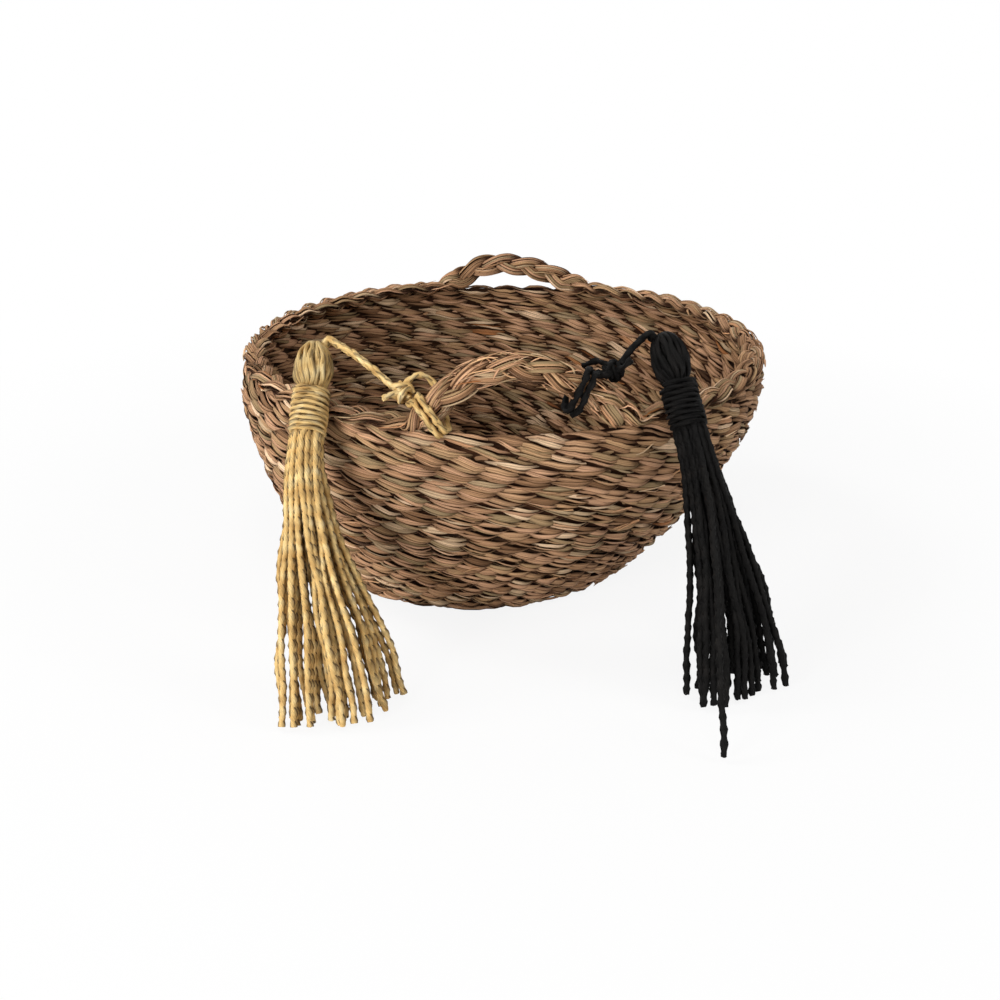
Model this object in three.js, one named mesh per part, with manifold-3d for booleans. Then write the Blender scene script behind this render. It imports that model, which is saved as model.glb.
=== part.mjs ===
// Seagrass planter basket: a twined bowl with a plaited rim, two plaited handles and two cord tassels.
// Millimetres, +Z up, the front handle faces -Y, and the origin is the middle of the flat underside.
import * as THREE from "three";
import { mergeVertices } from "three/addons/utils/BufferGeometryUtils.js";
import Module from "manifold-3d";

const wasm = await Module();
wasm.setup();

// Bowl
const HEIGHT = 132; // floor to the top of the rim plait
const BASE_RADIUS = 98; // where the line of the wall meets the floor
const BASE_ROUNDING = 4; // the flat underside ends this far inside the base radius
const BELLY_RADIUS = 154; // widest part, outside
const BELLY_HEIGHT = HEIGHT - 19;
const WALL_TOP_RADIUS = BELLY_RADIUS - 2.5; // outside, just under the rim plait
const WALL_FULLNESS = 1.6; // 1 is a straight cone, more is a fuller belly
const WALL_STEPS = 5; // straight pieces in the outline of the wall, floor to belly
const LEAN = 19; // the rim's middle lies this far to the right of the base's middle
const LEAN_CURVE = 1.65; // the lean happens low in the wall
const GAP = 0.3; // between pieces that touch

// Weave and stakes
const WEFT = 3.1; // one layer of twined weft
const STAKE_COUNT = 44;
const STAKE_WIDTH = 6;
const STAKE_THICKNESS = 1.2;
const BASE_WALL_JOIN = 6; // height up the wall where the base weave ends

// Rim plait and handles
const RIM_RADIUS = WALL_TOP_RADIUS - 5.5; // middle of the plait
const PLAIT_WIDTH = 13; // flat on the rim
const PLAIT_HEIGHT = 7;
const HANDLE_WIDTH = 14; // the same plait on edge, seen from the front
const HANDLE_THICKNESS = 9.5;
const HANDLE_ROUNDNESS = 1.2;
const EDGE_TURN = 0.45; // how soon the plait turns on edge as it lifts
const PLAIT_SIDES = 10;
const FRONT_HANDLE = { from: -19, top: 1, to: 27, lift: 36, steps: 28 };
const BACK_HANDLE = { from: 156, top: 181, to: 197, lift: 18, steps: 24 };
const RIM_STEP = 5.5; // degrees for each straight piece of the rim plait

// Tassels
const CORD = 3.6; // diameter of the tie cord
const CORD_SPACING = 4.2; // between the two runs of the doubled tie cord
const STRAND = 3.6; // diameter of one skirt strand
const STRAND_SPACING = 3.75;
const BUNDLE_TURN = 108; // turns the bunch so that its strands don't hide behind each other
const STRAND_STEPS = 5;
const STRAND_SIDES = 5;
const NECK_RADIUS = 7;
const WRAP_CORD = 2.2;
const WRAP_PITCH = 2.65;
const WRAP_TURNS = 8.5;
const WRAP_STEPS = 14; // straight pieces in one turn
const WRAP_SIDES = 5;
const WRAP_CLEARANCE = 0.45; // between the wrap and the neck that it binds
const HEAD_LENGTH = 23.5;
const HEAD_RADIUS = 10.2;
const HEAD_SHAPE = [[0.16, 0.93], [0.4, 1], [0.62, 0.88]]; // shares of the length and of the radius
const HEAD_CAP_RADIUS = 5.5; // rounded top that turns under the tie cord
const SKIRT_FLARE = 3; // length over which the bound neck opens to the full bundle
const STRAND_DROP = 45; // how stiffly a strand keeps the direction of the neck
const STRAND_LANDING = 38; // how upright a strand stands where it meets the floor
const STRAND_TUCK = 0.12; // how far under itself a strand lands, as a share of its run
const TIP_HEIGHT = 2.8; // middle of a strand tip above the floor
const FOREMOST = 0.9; // only the foremost strand of a bunch is this deep, and it may be longer
const KNOT_RADIUS = 5.2;
const TAIL = 3; // diameter of the loose ends at the knot
const TAIL_STEPS = 5;
const CORD_SIDES = 6;
const TIE_TILT = 38; // degrees that the tie's fold leans from the top of the head towards the knot
const TIE_ARCH = 1.6; // the tie rises this far above its fold before it turns to the knot
const LOOP_TOP = 112; // degrees round the foot where the loop meets it
const LOOP_LEAD = 6; // the loop meets the foot this far along it
const LOOP_STEP = 27; // degrees
const LOOP_STATIONS = 11;
const TIE_LOOP_STEPS = 40;
const TIE_CORD_STEPS = 36;

const STRAW = 0xbfa07d;
const PALE_STRAW = 0xc8ab8a;
const RAFFIA = 0xd7be7d;
const BLACK = 0x1e1e1f;

const YELLOW = {
  name: "yellow",
  colour: RAFFIA,
  azimuth: -38,
  leanIn: 35,
  roll: 21,
  slide: 7.5,
  tips: { azimuth: -21.85, out: 71.6, across: [28, 12], deep: [4, -13] },
  longStrand: [0, 0],
  knot: { azimuth: -20.98, out: -3.6, above: 11 },
  tails: [
    [[2, 1, 4], [7, 4, 8], [15, 5, 3]],
    [[-2, -3, 1], [-7, -7, 1], [-12, -9, -2]],
  ],
  tieFoot: -14.3,
};
const BLACK_TASSEL = {
  name: "black",
  colour: BLACK,
  azimuth: 34,
  leanIn: 35,
  roll: -5,
  slide: 1,
  tips: { azimuth: 33.91, out: 70.9, across: [26, 18], deep: [4, -12] },
  longStrand: [-16, -49],
  knot: { azimuth: 23.04, out: -8, above: 20 },
  tails: [
    [[-3, 3, 3], [-8, 6, 4], [-15, 7, 1]],
    [[2, -3, 2], [5, -6, 5], [8, -8, 9]],
  ],
  tieFoot: 14.5,
};

const TURN = 2 * Math.PI;
const UP = new THREE.Vector3(0, 0, 1);
const rimMiddle = new THREE.Vector3(LEAN, 0, 0);
const outward = (azimuth) => new THREE.Vector3(Math.sin(azimuth), -Math.cos(azimuth), 0);
const along = (azimuth) => new THREE.Vector3(Math.cos(azimuth), Math.sin(azimuth), 0);
const radians = THREE.MathUtils.degToRad;

const basket = new THREE.Group();

function addMesh(name, geometry, colour, roughness = 0.85) {
  const material = new THREE.MeshStandardMaterial({ color: colour, roughness, metalness: 0 });
  const mesh = new THREE.Mesh(geometry, material);
  mesh.name = name;
  basket.add(mesh);
}

// A closed solid from rings of points: neighbouring rings are joined and both ends are capped.
function solidFromRings(rings) {
  const sides = rings[0].length;
  const points = rings.flat();
  const faces = [];
  for (let ring = 0; ring + 1 < rings.length; ring++) {
    for (let side = 0; side < sides; side++) {
      const next = (side + 1) % sides;
      const a = ring * sides + side;
      const b = ring * sides + next;
      faces.push(a, b, b + sides, a, b + sides, a + sides);
    }
  }
  const last = (rings.length - 1) * sides;
  for (let side = 1; side + 1 < sides; side++) {
    faces.push(0, side + 1, side);
    faces.push(last, last + side, last + side + 1);
  }
  const geometry = new THREE.BufferGeometry().setFromPoints(points);
  geometry.setIndex(faces);
  return signedVolume(points, faces) < 0 ? turnedInsideOut(geometry) : geometry;
}

function signedVolume(points, faces) {
  let volume = 0;
  for (let i = 0; i < faces.length; i += 3) {
    const [a, b, c] = [points[faces[i]], points[faces[i + 1]], points[faces[i + 2]]];
    volume += a.dot(b.clone().cross(c)) / 6;
  }
  return volume;
}

function turnedInsideOut(geometry) {
  geometry.setIndex([...geometry.index.array].reverse());
  return geometry;
}

function ringAround(middle, first, second, halfFirst, halfSecond, sides) {
  return Array.from({ length: sides }, (_, i) => {
    const angle = (i / sides) * TURN;
    return middle
      .clone()
      .addScaledVector(first, halfFirst * Math.cos(angle))
      .addScaledVector(second, halfSecond * Math.sin(angle));
  });
}

function tube(curve, diameter, steps, sides) {
  const section = new THREE.Shape();
  for (let i = 0; i < sides; i++) {
    const angle = (i / sides) * TURN;
    const point = [(diameter / 2) * Math.cos(angle), (diameter / 2) * Math.sin(angle)];
    if (i) section.lineTo(...point);
    else section.moveTo(...point);
  }
  return new THREE.ExtrudeGeometry(section, { steps, extrudePath: curve, bevelEnabled: false });
}

function toSolid(geometry) {
  const bare = geometry.clone();
  bare.deleteAttribute("normal");
  bare.deleteAttribute("uv");
  const merged = mergeVertices(bare, 1e-4);
  const mesh = new wasm.Mesh({
    numProp: 3,
    vertProperties: new Float32Array(merged.attributes.position.array),
    triVerts: new Uint32Array(merged.index.array),
  });
  return new wasm.Manifold(mesh);
}

function joined(geometries) {
  const solid = geometries.map(toSolid).reduce((whole, piece) => whole.add(piece));
  const mesh = solid.getMesh();
  const geometry = new THREE.BufferGeometry();
  geometry.setAttribute("position", new THREE.BufferAttribute(mesh.vertProperties, 3));
  geometry.setIndex(new THREE.BufferAttribute(mesh.triVerts, 1));
  return geometry;
}

// Outline of the bowl, from the middle of the underside to the top of the wall
const WALL_TOP = HEIGHT - PLAIT_HEIGHT - GAP;
const WALL_THICKNESS = 2 * WEFT + STAKE_THICKNESS + 2 * GAP;

function wallRadius(height) {
  if (height > BELLY_HEIGHT) {
    const share = (height - BELLY_HEIGHT) / (WALL_TOP - BELLY_HEIGHT);
    return BELLY_RADIUS - (BELLY_RADIUS - WALL_TOP_RADIUS) * share * share;
  }
  const fullness = 1 - Math.pow(1 - height / BELLY_HEIGHT, WALL_FULLNESS);
  return BASE_RADIUS + (BELLY_RADIUS - BASE_RADIUS) * fullness;
}

function bowlOutline() {
  const points = [new THREE.Vector2(0, 0), new THREE.Vector2(BASE_RADIUS - BASE_ROUNDING, 0)];
  for (let step = 0; step <= WALL_STEPS; step++) {
    const height = BASE_ROUNDING + ((BELLY_HEIGHT - BASE_ROUNDING) * step) / WALL_STEPS;
    points.push(new THREE.Vector2(wallRadius(height), height));
  }
  points.push(new THREE.Vector2(WALL_TOP_RADIUS, WALL_TOP));
  return points;
}

// The same outline at a depth under the outside face, so that every layer keeps its thickness
function outlineAtDepth(outline, depth) {
  const normals = outline.slice(1).map((point, i) => {
    const step = point.clone().sub(outline[i]).normalize();
    return new THREE.Vector2(-step.y, step.x);
  });
  return outline.map((point, i) => {
    const before = normals[Math.max(i - 1, 0)];
    const after = normals[Math.min(i, normals.length - 1)];
    if (i === outline.length - 1) return new THREE.Vector2(point.x + depth / before.x, point.y);
    const bisector = before.clone().add(after);
    return point.clone().addScaledVector(bisector, depth / (1 + before.dot(after)));
  });
}

const outline = bowlOutline();
const CORNER_INDEX = 2; // the outline's first point on the wall
const joinStep = outline[CORNER_INDEX + 1].clone().sub(outline[CORNER_INDEX]);
const joinShare = BASE_WALL_JOIN / joinStep.length();
const gapShare = GAP / joinStep.length();

function pointOnFirstStep(layer, share) {
  return layer[CORNER_INDEX].clone().lerp(layer[CORNER_INDEX + 1], share);
}

function leanAt(height) {
  const left = Math.max(0, 1 - height / HEIGHT);
  return LEAN * (1 - Math.pow(left, LEAN_CURVE));
}

function leaned(geometry) {
  const position = geometry.attributes.position;
  for (let i = 0; i < position.count; i++) {
    position.setX(i, position.getX(i) + leanAt(position.getZ(i)));
  }
  return geometry;
}

function turnedProfile(profile) {
  return new THREE.LatheGeometry([...profile, profile[0]], STAKE_COUNT).rotateX(Math.PI / 2);
}

function baseLayer(depthFrom, depthTo) {
  const lower = outlineAtDepth(outline, depthFrom);
  const upper = outlineAtDepth(outline, depthTo);
  const lowerEdge = [...lower.slice(0, CORNER_INDEX + 1), pointOnFirstStep(lower, joinShare)];
  const upperEdge = [...upper.slice(0, CORNER_INDEX + 1), pointOnFirstStep(upper, joinShare)];
  return leaned(turnedProfile([...lowerEdge, ...upperEdge.reverse()]));
}

function wallLayer(depthFrom, depthTo) {
  const lower = outlineAtDepth(outline, depthFrom);
  const upper = outlineAtDepth(outline, depthTo);
  const start = joinShare + gapShare;
  const outer = [pointOnFirstStep(lower, start), ...lower.slice(CORNER_INDEX + 1)];
  const inner = [pointOnFirstStep(upper, start), ...upper.slice(CORNER_INDEX + 1)];
  return leaned(turnedProfile([...outer, ...inner.reverse()]));
}

const STAKE_FROM = WEFT + GAP;
const STAKE_TO = STAKE_FROM + STAKE_THICKNESS;
const INSIDE_FROM = STAKE_TO + GAP;

// The stakes fan out from a flat crossing in the middle of the base and run up the wall
function stakes() {
  const under = outlineAtDepth(outline, STAKE_FROM);
  const over = outlineAtDepth(outline, STAKE_TO);
  const crossingRadius = (STAKE_COUNT * (STAKE_WIDTH + GAP)) / TURN;
  const flat = Math.cos(Math.PI / STAKE_COUNT);
  const start = crossingRadius - 1;
  const crossing = turnedProfile([
    new THREE.Vector2(0, STAKE_FROM),
    new THREE.Vector2(crossingRadius, STAKE_FROM),
    new THREE.Vector2(crossingRadius, STAKE_TO),
    new THREE.Vector2(0, STAKE_TO),
  ]);
  const route = [[new THREE.Vector2(start, STAKE_FROM), new THREE.Vector2(start, STAKE_TO)]];
  for (let i = 1; i < outline.length; i++) route.push([under[i], over[i]]);
  const pieces = [crossing];
  for (let stake = 0; stake < STAKE_COUNT; stake++) {
    const azimuth = ((stake + 0.5) / STAKE_COUNT) * TURN;
    const rings = route.map(([low, high]) => {
      const corner = (point, side) =>
        outward(azimuth)
          .multiplyScalar(point.x * flat)
          .addScaledVector(along(azimuth), (side * STAKE_WIDTH) / 2)
          .setZ(point.y);
      return [corner(low, -1), corner(low, 1), corner(high, 1), corner(high, -1)];
    });
    pieces.push(solidFromRings(rings));
  }
  return leaned(joined(pieces));
}

addMesh("base_weave_outside", baseLayer(0, WEFT), STRAW);
addMesh("base_weave_inside", baseLayer(INSIDE_FROM, WALL_THICKNESS), STRAW);
addMesh("wall_weave_outside", wallLayer(0, WEFT), STRAW);
addMesh("wall_weave_inside", wallLayer(INSIDE_FROM, WALL_THICKNESS), STRAW);
addMesh("stakes", stakes(), PALE_STRAW);

// The plait lies flat on the rim and lifts off the wall on edge to make each handle
function liftAt(degrees, handle) {
  const half = degrees < handle.top ? handle.top - handle.from : handle.to - handle.top;
  const share = (degrees - handle.top) / half;
  if (Math.abs(share) >= 1) return 0;
  return handle.lift * Math.pow(1 - share * share, HANDLE_ROUNDNESS);
}

function plaitAt(degrees, handle) {
  const lift = handle ? liftAt(degrees, handle) : 0;
  const halfHeight = Math.min(HANDLE_WIDTH / 2, PLAIT_HEIGHT / 2 + EDGE_TURN * lift);
  const turned = (halfHeight - PLAIT_HEIGHT / 2) / (HANDLE_WIDTH / 2 - PLAIT_HEIGHT / 2);
  const halfWidth = THREE.MathUtils.lerp(PLAIT_WIDTH / 2, HANDLE_THICKNESS / 2, turned);
  const across = outward(radians(degrees));
  const middle = rimMiddle.clone().addScaledVector(across, RIM_RADIUS);
  middle.z = HEIGHT + lift - halfHeight;
  return { middle, across, halfHeight, halfWidth };
}

function plaitFrame(degrees, handle) {
  const here = plaitAt(degrees, handle);
  if (!handle || !liftAt(degrees, handle)) return { ...here, tangent: along(radians(degrees)), upright: UP };
  const NEAR = 0.05;
  const before = plaitAt(degrees - NEAR, handle).middle;
  const tangent = plaitAt(degrees + NEAR, handle).middle.sub(before).normalize();
  return { ...here, tangent, upright: here.across.clone().cross(tangent).normalize() };
}

function plait(from, to, steps, handle) {
  const rings = [];
  for (let step = 0; step <= steps; step++) {
    const frame = plaitFrame(from + ((to - from) * step) / steps, handle);
    const { middle, across, upright, halfWidth, halfHeight } = frame;
    rings.push(ringAround(middle, across, upright, halfWidth, halfHeight, PLAIT_SIDES));
  }
  return solidFromRings(rings);
}

const gapAngle = THREE.MathUtils.radToDeg(GAP / RIM_RADIUS);

function rimPlait(after, before) {
  const from = after.to + gapAngle;
  const to = before.from - gapAngle;
  return plait(from, to, Math.round((to - from) / RIM_STEP), null);
}

const frontAgain = { ...FRONT_HANDLE, from: FRONT_HANDLE.from + 360 };
addMesh("rim_plait_right", rimPlait(FRONT_HANDLE, BACK_HANDLE), STRAW);
addMesh("rim_plait_left", rimPlait(BACK_HANDLE, frontAgain), STRAW);
for (const [name, handle] of [["front_handle", FRONT_HANDLE], ["back_handle", BACK_HANDLE]]) {
  addMesh(name, plait(handle.from, handle.to, handle.steps, handle), PALE_STRAW);
}

// Tassels
const WRAP_RADIUS = NECK_RADIUS + WRAP_CLEARANCE + WRAP_CORD / 2;
const WRAP_OUTSIDE = WRAP_RADIUS + WRAP_CORD / 2;
const WRAP_LENGTH = WRAP_PITCH * WRAP_TURNS + WRAP_CORD;

// Where a tassel lies over the rim: its axis points up to the head and leans in over the plait
function tasselFrame(tassel) {
  const azimuth = radians(tassel.azimuth);
  const lean = radians(tassel.leanIn);
  const roll = radians(tassel.roll);
  const out = outward(azimuth);
  const off = out.clone().multiplyScalar(Math.cos(lean)).addScaledVector(UP, Math.sin(lean));
  const straight = UP.clone().multiplyScalar(Math.cos(lean)).addScaledVector(out, -Math.sin(lean));
  const axis = straight
    .multiplyScalar(Math.cos(roll))
    .addScaledVector(along(azimuth), -Math.sin(roll));
  const rim = plaitAt(tassel.azimuth, null);
  const reach = Math.hypot(rim.halfWidth * Math.cos(lean), rim.halfHeight * Math.sin(lean));
  const wrapMiddle = rim.middle
    .clone()
    .addScaledVector(off, reach + WRAP_OUTSIDE + GAP)
    .addScaledVector(axis, -tassel.slide);
  const wide = new THREE.Vector3(...tassel.tips.across, 0);
  const side = wide.addScaledVector(axis, -wide.dot(axis)).normalize();
  const front = side.clone().cross(axis).normalize();
  const at = (distance) => wrapMiddle.clone().addScaledVector(axis, distance);
  return { axis, side, front, at };
}

// Radius of the bunch of folded strands from the wrap's lower end to the top of the head
function bunchRadii() {
  const half = WRAP_LENGTH / 2;
  const bundle = 2 * STRAND_SPACING + STRAND / 2;
  const radii = [
    [-half - SKIRT_FLARE - 1, bundle],
    [-half - SKIRT_FLARE, bundle],
    [-half, NECK_RADIUS],
    [half, NECK_RADIUS],
    ...HEAD_SHAPE.map(([up, wide]) => [half + HEAD_LENGTH * up, HEAD_RADIUS * wide]),
  ];
  const capMiddle = half + HEAD_LENGTH - HEAD_CAP_RADIUS;
  for (const angle of [0, 30, 60, 82]) {
    const height = capMiddle + HEAD_CAP_RADIUS * Math.sin(radians(angle));
    radii.push([height, HEAD_CAP_RADIUS * Math.cos(radians(angle))]);
  }
  return radii;
}

// A point at floor level, this far outside the middle of the rim plait
function beyondRim(degrees, out) {
  return rimMiddle.clone().addScaledVector(outward(radians(degrees)), RIM_RADIUS + out);
}

function strandRoute(tassel, frame, across, deep) {
  const radius = STRAND_SPACING * 2;
  const from = frame
    .at(-WRAP_LENGTH / 2 - SKIRT_FLARE + 1)
    .addScaledVector(frame.side, across * radius)
    .addScaledVector(frame.front, deep * radius);
  const { azimuth, out, across: wide, deep: far } = tassel.tips;
  const longer = deep > FOREMOST ? tassel.longStrand : [0, 0];
  const spread = new THREE.Vector3(
    across * wide[0] + deep * far[0] + longer[0],
    across * wide[1] + deep * far[1] + longer[1],
    TIP_HEIGHT,
  );
  const tip = beyondRim(azimuth, out).add(spread);
  const leave = from.clone().addScaledVector(frame.axis, -STRAND_DROP);
  const land = tip.clone().setZ(TIP_HEIGHT + STRAND_LANDING);
  land.addScaledVector(tip.clone().sub(from).setZ(0), -STRAND_TUCK);
  return new THREE.CubicBezierCurve3(from, leave, land, tip);
}

// One strand in the middle, six round it and twelve round those, as cords pack in a bunch
function bundlePlaces() {
  const places = [[0, 0]];
  for (const ring of [1, 2]) {
    for (let i = 0; i < 6 * ring; i++) {
      const corner = Math.floor(i / ring);
      const share = (i % ring) / ring;
      const from = radians(60 * corner + BUNDLE_TURN);
      const to = from + radians(60);
      const x = Math.cos(from) * (1 - share) + Math.cos(to) * share;
      const y = Math.sin(from) * (1 - share) + Math.sin(to) * share;
      places.push([(x * ring) / 2, (y * ring) / 2]);
    }
  }
  return places;
}

function strands(tassel, frame) {
  const SIDES = 12;
  const rings = bunchRadii().map(([distance, radius]) =>
    ringAround(frame.at(distance), frame.side, frame.front, radius, radius, SIDES),
  );
  const routes = bundlePlaces().map(([x, y]) => strandRoute(tassel, frame, x, y));
  reportGap(tassel.name + " strands", leastGapBetween(routes, STRAND));
  const tubes = routes.map((route) => tube(route, STRAND, STRAND_STEPS, STRAND_SIDES));
  return joined([solidFromRings(rings), ...tubes]);
}

function leastGapBetween(routes, diameter) {
  const SAMPLES = 60;
  const lines = routes.map((route) => route.getPoints(SAMPLES));
  let least = Infinity;
  lines.forEach((line, i) =>
    lines.slice(i + 1).forEach((other) =>
      line.forEach((point) => other.forEach((far) => (least = Math.min(least, point.distanceTo(far))))),
    ),
  );
  return least - diameter;
}

function reportGap(what, gap) {
  console.log(what + ": least gap " + gap.toFixed(2) + " mm");
}

// The wrap is one unbroken winding whose ends run on straight for one cord diameter
class WrapCurve extends THREE.Curve {
  constructor(frame) {
    super();
    this.frame = frame;
  }
  getPoint(share, target = new THREE.Vector3()) {
    const turns = THREE.MathUtils.clamp(share, 0, 1) * WRAP_TURNS;
    const angle = turns * TURN;
    const { side, front } = this.frame;
    const middle = this.frame.at(WRAP_PITCH * (turns - WRAP_TURNS / 2));
    const round = side.clone().multiplyScalar(Math.cos(angle)).addScaledVector(front, Math.sin(angle));
    return target.copy(middle).addScaledVector(round, WRAP_RADIUS);
  }
}

function wrap(tassel, frame) {
  const curve = new WrapCurve(frame);
  const steps = Math.round(WRAP_TURNS * WRAP_STEPS);
  const points = Array.from({ length: steps + 1 }, (_, i) => curve.getPoint(i / steps));
  reportGap(tassel.name + " wrap", leastGapAlong(points, WRAP_CORD));
  const ends = [straightEnd(points[0], points[1]), straightEnd(points.at(-1), points.at(-2))];
  const route = [ends[0], ...points, ends[1]];
  const half = WRAP_CORD / 2;
  const rings = route.map((point, i) => {
    const tangent = route[Math.min(i + 1, route.length - 1)].clone().sub(route[Math.max(i - 1, 0)]);
    const near = point.clone().sub(frame.at(0));
    const round = near.addScaledVector(frame.axis, -near.dot(frame.axis));
    round.addScaledVector(tangent.normalize(), -round.dot(tangent)).normalize();
    return ringAround(point, round, round.clone().cross(tangent), half, half, WRAP_SIDES);
  });
  return solidFromRings(rings);
}

function straightEnd(end, before) {
  return end.clone().addScaledVector(end.clone().sub(before).normalize(), WRAP_CORD);
}

// Gap between parts of one cord that are more than three diameters apart along it
function leastGapAlong(points, diameter) {
  let least = Infinity;
  const reach = [0];
  points.slice(1).forEach((point, i) => reach.push(reach[i] + point.distanceTo(points[i])));
  points.forEach((point, i) =>
    points.forEach((other, j) => {
      if (reach[j] - reach[i] > 3 * diameter) least = Math.min(least, point.distanceTo(other));
    }),
  );
  return least - diameter;
}

// The tie: a doubled cord tucked round the foot of the handle, the knot, and on to the head
function knotMiddle(tassel) {
  const { azimuth, out, above } = tassel.knot;
  return beyondRim(azimuth, out).setZ(HEIGHT + above);
}

// Both runs of a cord folded in half, from a line down their middle and the side they face
function doubledCord(stations) {
  const places = stations.map(({ point, normal }, i) => {
    const after = stations[Math.min(i + 1, stations.length - 1)].point;
    const before = stations[Math.max(i - 1, 0)].point;
    const ahead = after.clone().sub(before).normalize();
    const apart = ahead.clone().cross(normal).normalize().multiplyScalar(CORD_SPACING / 2);
    return { point, ahead, apart };
  });
  const fold = places.at(-1);
  const FOLD_POINTS = 3;
  const bend = Array.from({ length: FOLD_POINTS }, (_, i) => {
    const angle = (Math.PI * (i + 1)) / (FOLD_POINTS + 1);
    return fold.point
      .clone()
      .addScaledVector(fold.apart, Math.cos(angle))
      .addScaledVector(fold.ahead, (CORD_SPACING / 2) * Math.sin(angle));
  });
  const outgoing = places.map(({ point, apart }) => point.clone().add(apart));
  const returning = places.map(({ point, apart }) => point.clone().sub(apart)).reverse();
  return new THREE.CatmullRomCurve3([...outgoing, ...bend, ...returning], false, "centripetal");
}

function tieLoop(tassel) {
  const foot = plaitFrame(tassel.tieFoot, FRONT_HANDLE);
  const halfAcross = foot.halfWidth + 2 * GAP + CORD / 2;
  const halfUpright = foot.halfHeight + 2 * GAP + CORD / 2;
  const knot = knotMiddle(tassel);
  const towardKnot = Math.sign(knot.clone().sub(foot.middle).dot(foot.tangent));
  const round = (degrees, shift) => {
    const across = foot.across.clone().multiplyScalar(Math.cos(radians(degrees)));
    const upright = foot.upright.clone().multiplyScalar(Math.sin(radians(degrees)));
    const point = foot.middle
      .clone()
      .addScaledVector(across, halfAcross)
      .addScaledVector(upright, halfUpright)
      .addScaledVector(foot.tangent, shift * towardKnot);
    return { point, normal: across.add(upright).normalize() };
  };
  const top = round(LOOP_TOP, LOOP_LEAD);
  const away = top.point.clone().sub(knot).normalize();
  const start = knot.clone().addScaledVector(away, KNOT_RADIUS + GAP);
  const stations = [
    { point: start, normal: UP },
    { point: start.clone().lerp(top.point, 0.5), normal: UP },
    top,
    round(LOOP_TOP - LOOP_STEP, LOOP_LEAD / 4),
  ];
  for (let step = 2; step <= LOOP_STATIONS; step++) {
    stations.push(round(LOOP_TOP - step * LOOP_STEP, 0));
  }
  return doubledCord(stations);
}

function knot(tassel) {
  const middle = knotMiddle(tassel);
  const ball = new THREE.SphereGeometry(KNOT_RADIUS, 12, 8).translate(...middle);
  const tails = tassel.tails.map((offsets) => {
    const points = offsets.map((offset) => middle.clone().add(new THREE.Vector3(...offset)));
    return tube(new THREE.CatmullRomCurve3(points), TAIL, TAIL_STEPS, CORD_SIDES);
  });
  return joined([ball, ...tails]);
}

function tieCord(tassel, frame) {
  const knotAt = knotMiddle(tassel);
  const capMiddle = frame.at(WRAP_LENGTH / 2 + HEAD_LENGTH - HEAD_CAP_RADIUS);
  const toKnot = knotAt.clone().sub(capMiddle);
  const aside = toKnot.addScaledVector(frame.axis, -toKnot.dot(frame.axis)).normalize();
  const leaving = frame.axis
    .clone()
    .multiplyScalar(Math.cos(radians(TIE_TILT)))
    .addScaledVector(aside, Math.sin(radians(TIE_TILT)));
  const reach = HEAD_CAP_RADIUS + GAP + CORD / 2 + CORD_SPACING / 2;
  const fold = capMiddle.clone().addScaledVector(leaving, reach);
  const over = fold.clone().addScaledVector(leaving, TIE_ARCH);
  const away = over.clone().sub(knotAt).normalize();
  const crest = over.clone().addScaledVector(leaving, TIE_ARCH / 2).addScaledVector(away, -CORD);
  const start = knotAt.clone().addScaledVector(away, KNOT_RADIUS + GAP);
  const halfway = start.clone().lerp(crest, 0.5).addScaledVector(UP, 1.5);
  const normal = frame.axis.clone().addScaledVector(away, -frame.axis.dot(away)).normalize();
  return doubledCord([
    { point: start, normal },
    { point: halfway, normal },
    { point: crest, normal },
    { point: over, normal: away },
    { point: fold, normal: away },
  ]);
}

function reportCord(name, curve) {
  const points = curve.getSpacedPoints(200);
  reportGap(name + " " + curve.getLength().toFixed(0) + " mm", leastGapAlong(points, CORD));
}

// The knot turns about its own middle, and the head about the middle of its rounded top
function reportHinges(tassel, frame) {
  const knotAt = knotMiddle(tassel);
  const headAt = frame.at(WRAP_LENGTH / 2 + HEAD_LENGTH - HEAD_CAP_RADIUS);
  const toHead = headAt.clone().sub(knotAt).setZ(0).normalize();
  const liftAxis = toHead.clone().cross(UP);
  const swingAxis = along(radians(tassel.azimuth)).negate();
  const words = (vector) => vector.toArray().map((value) => value.toFixed(4)).join(" ");
  console.log(tassel.name + " knot at " + words(knotAt) + " lifts about " + words(liftAxis));
  console.log(tassel.name + " head at " + words(headAt) + " swings about " + words(swingAxis));
}

for (const tassel of [YELLOW, BLACK_TASSEL]) {
  const frame = tasselFrame(tassel);
  const loop = tieLoop(tassel);
  const cord = tieCord(tassel, frame);
  reportCord(tassel.name + " tie loop", loop);
  reportCord(tassel.name + " tie cord", cord);
  reportHinges(tassel, frame);
  addMesh(tassel.name + "_tie_loop", tube(loop, CORD, TIE_LOOP_STEPS, CORD_SIDES), tassel.colour);
  addMesh(tassel.name + "_tie_knot", knot(tassel), tassel.colour);
  addMesh(tassel.name + "_tie_cord", tube(cord, CORD, TIE_CORD_STEPS, CORD_SIDES), tassel.colour);
  addMesh(tassel.name + "_tassel_strands", strands(tassel, frame), tassel.colour);
  addMesh(tassel.name + "_tassel_wrap", wrap(tassel, frame), tassel.colour);
}

export default basket;
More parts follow.
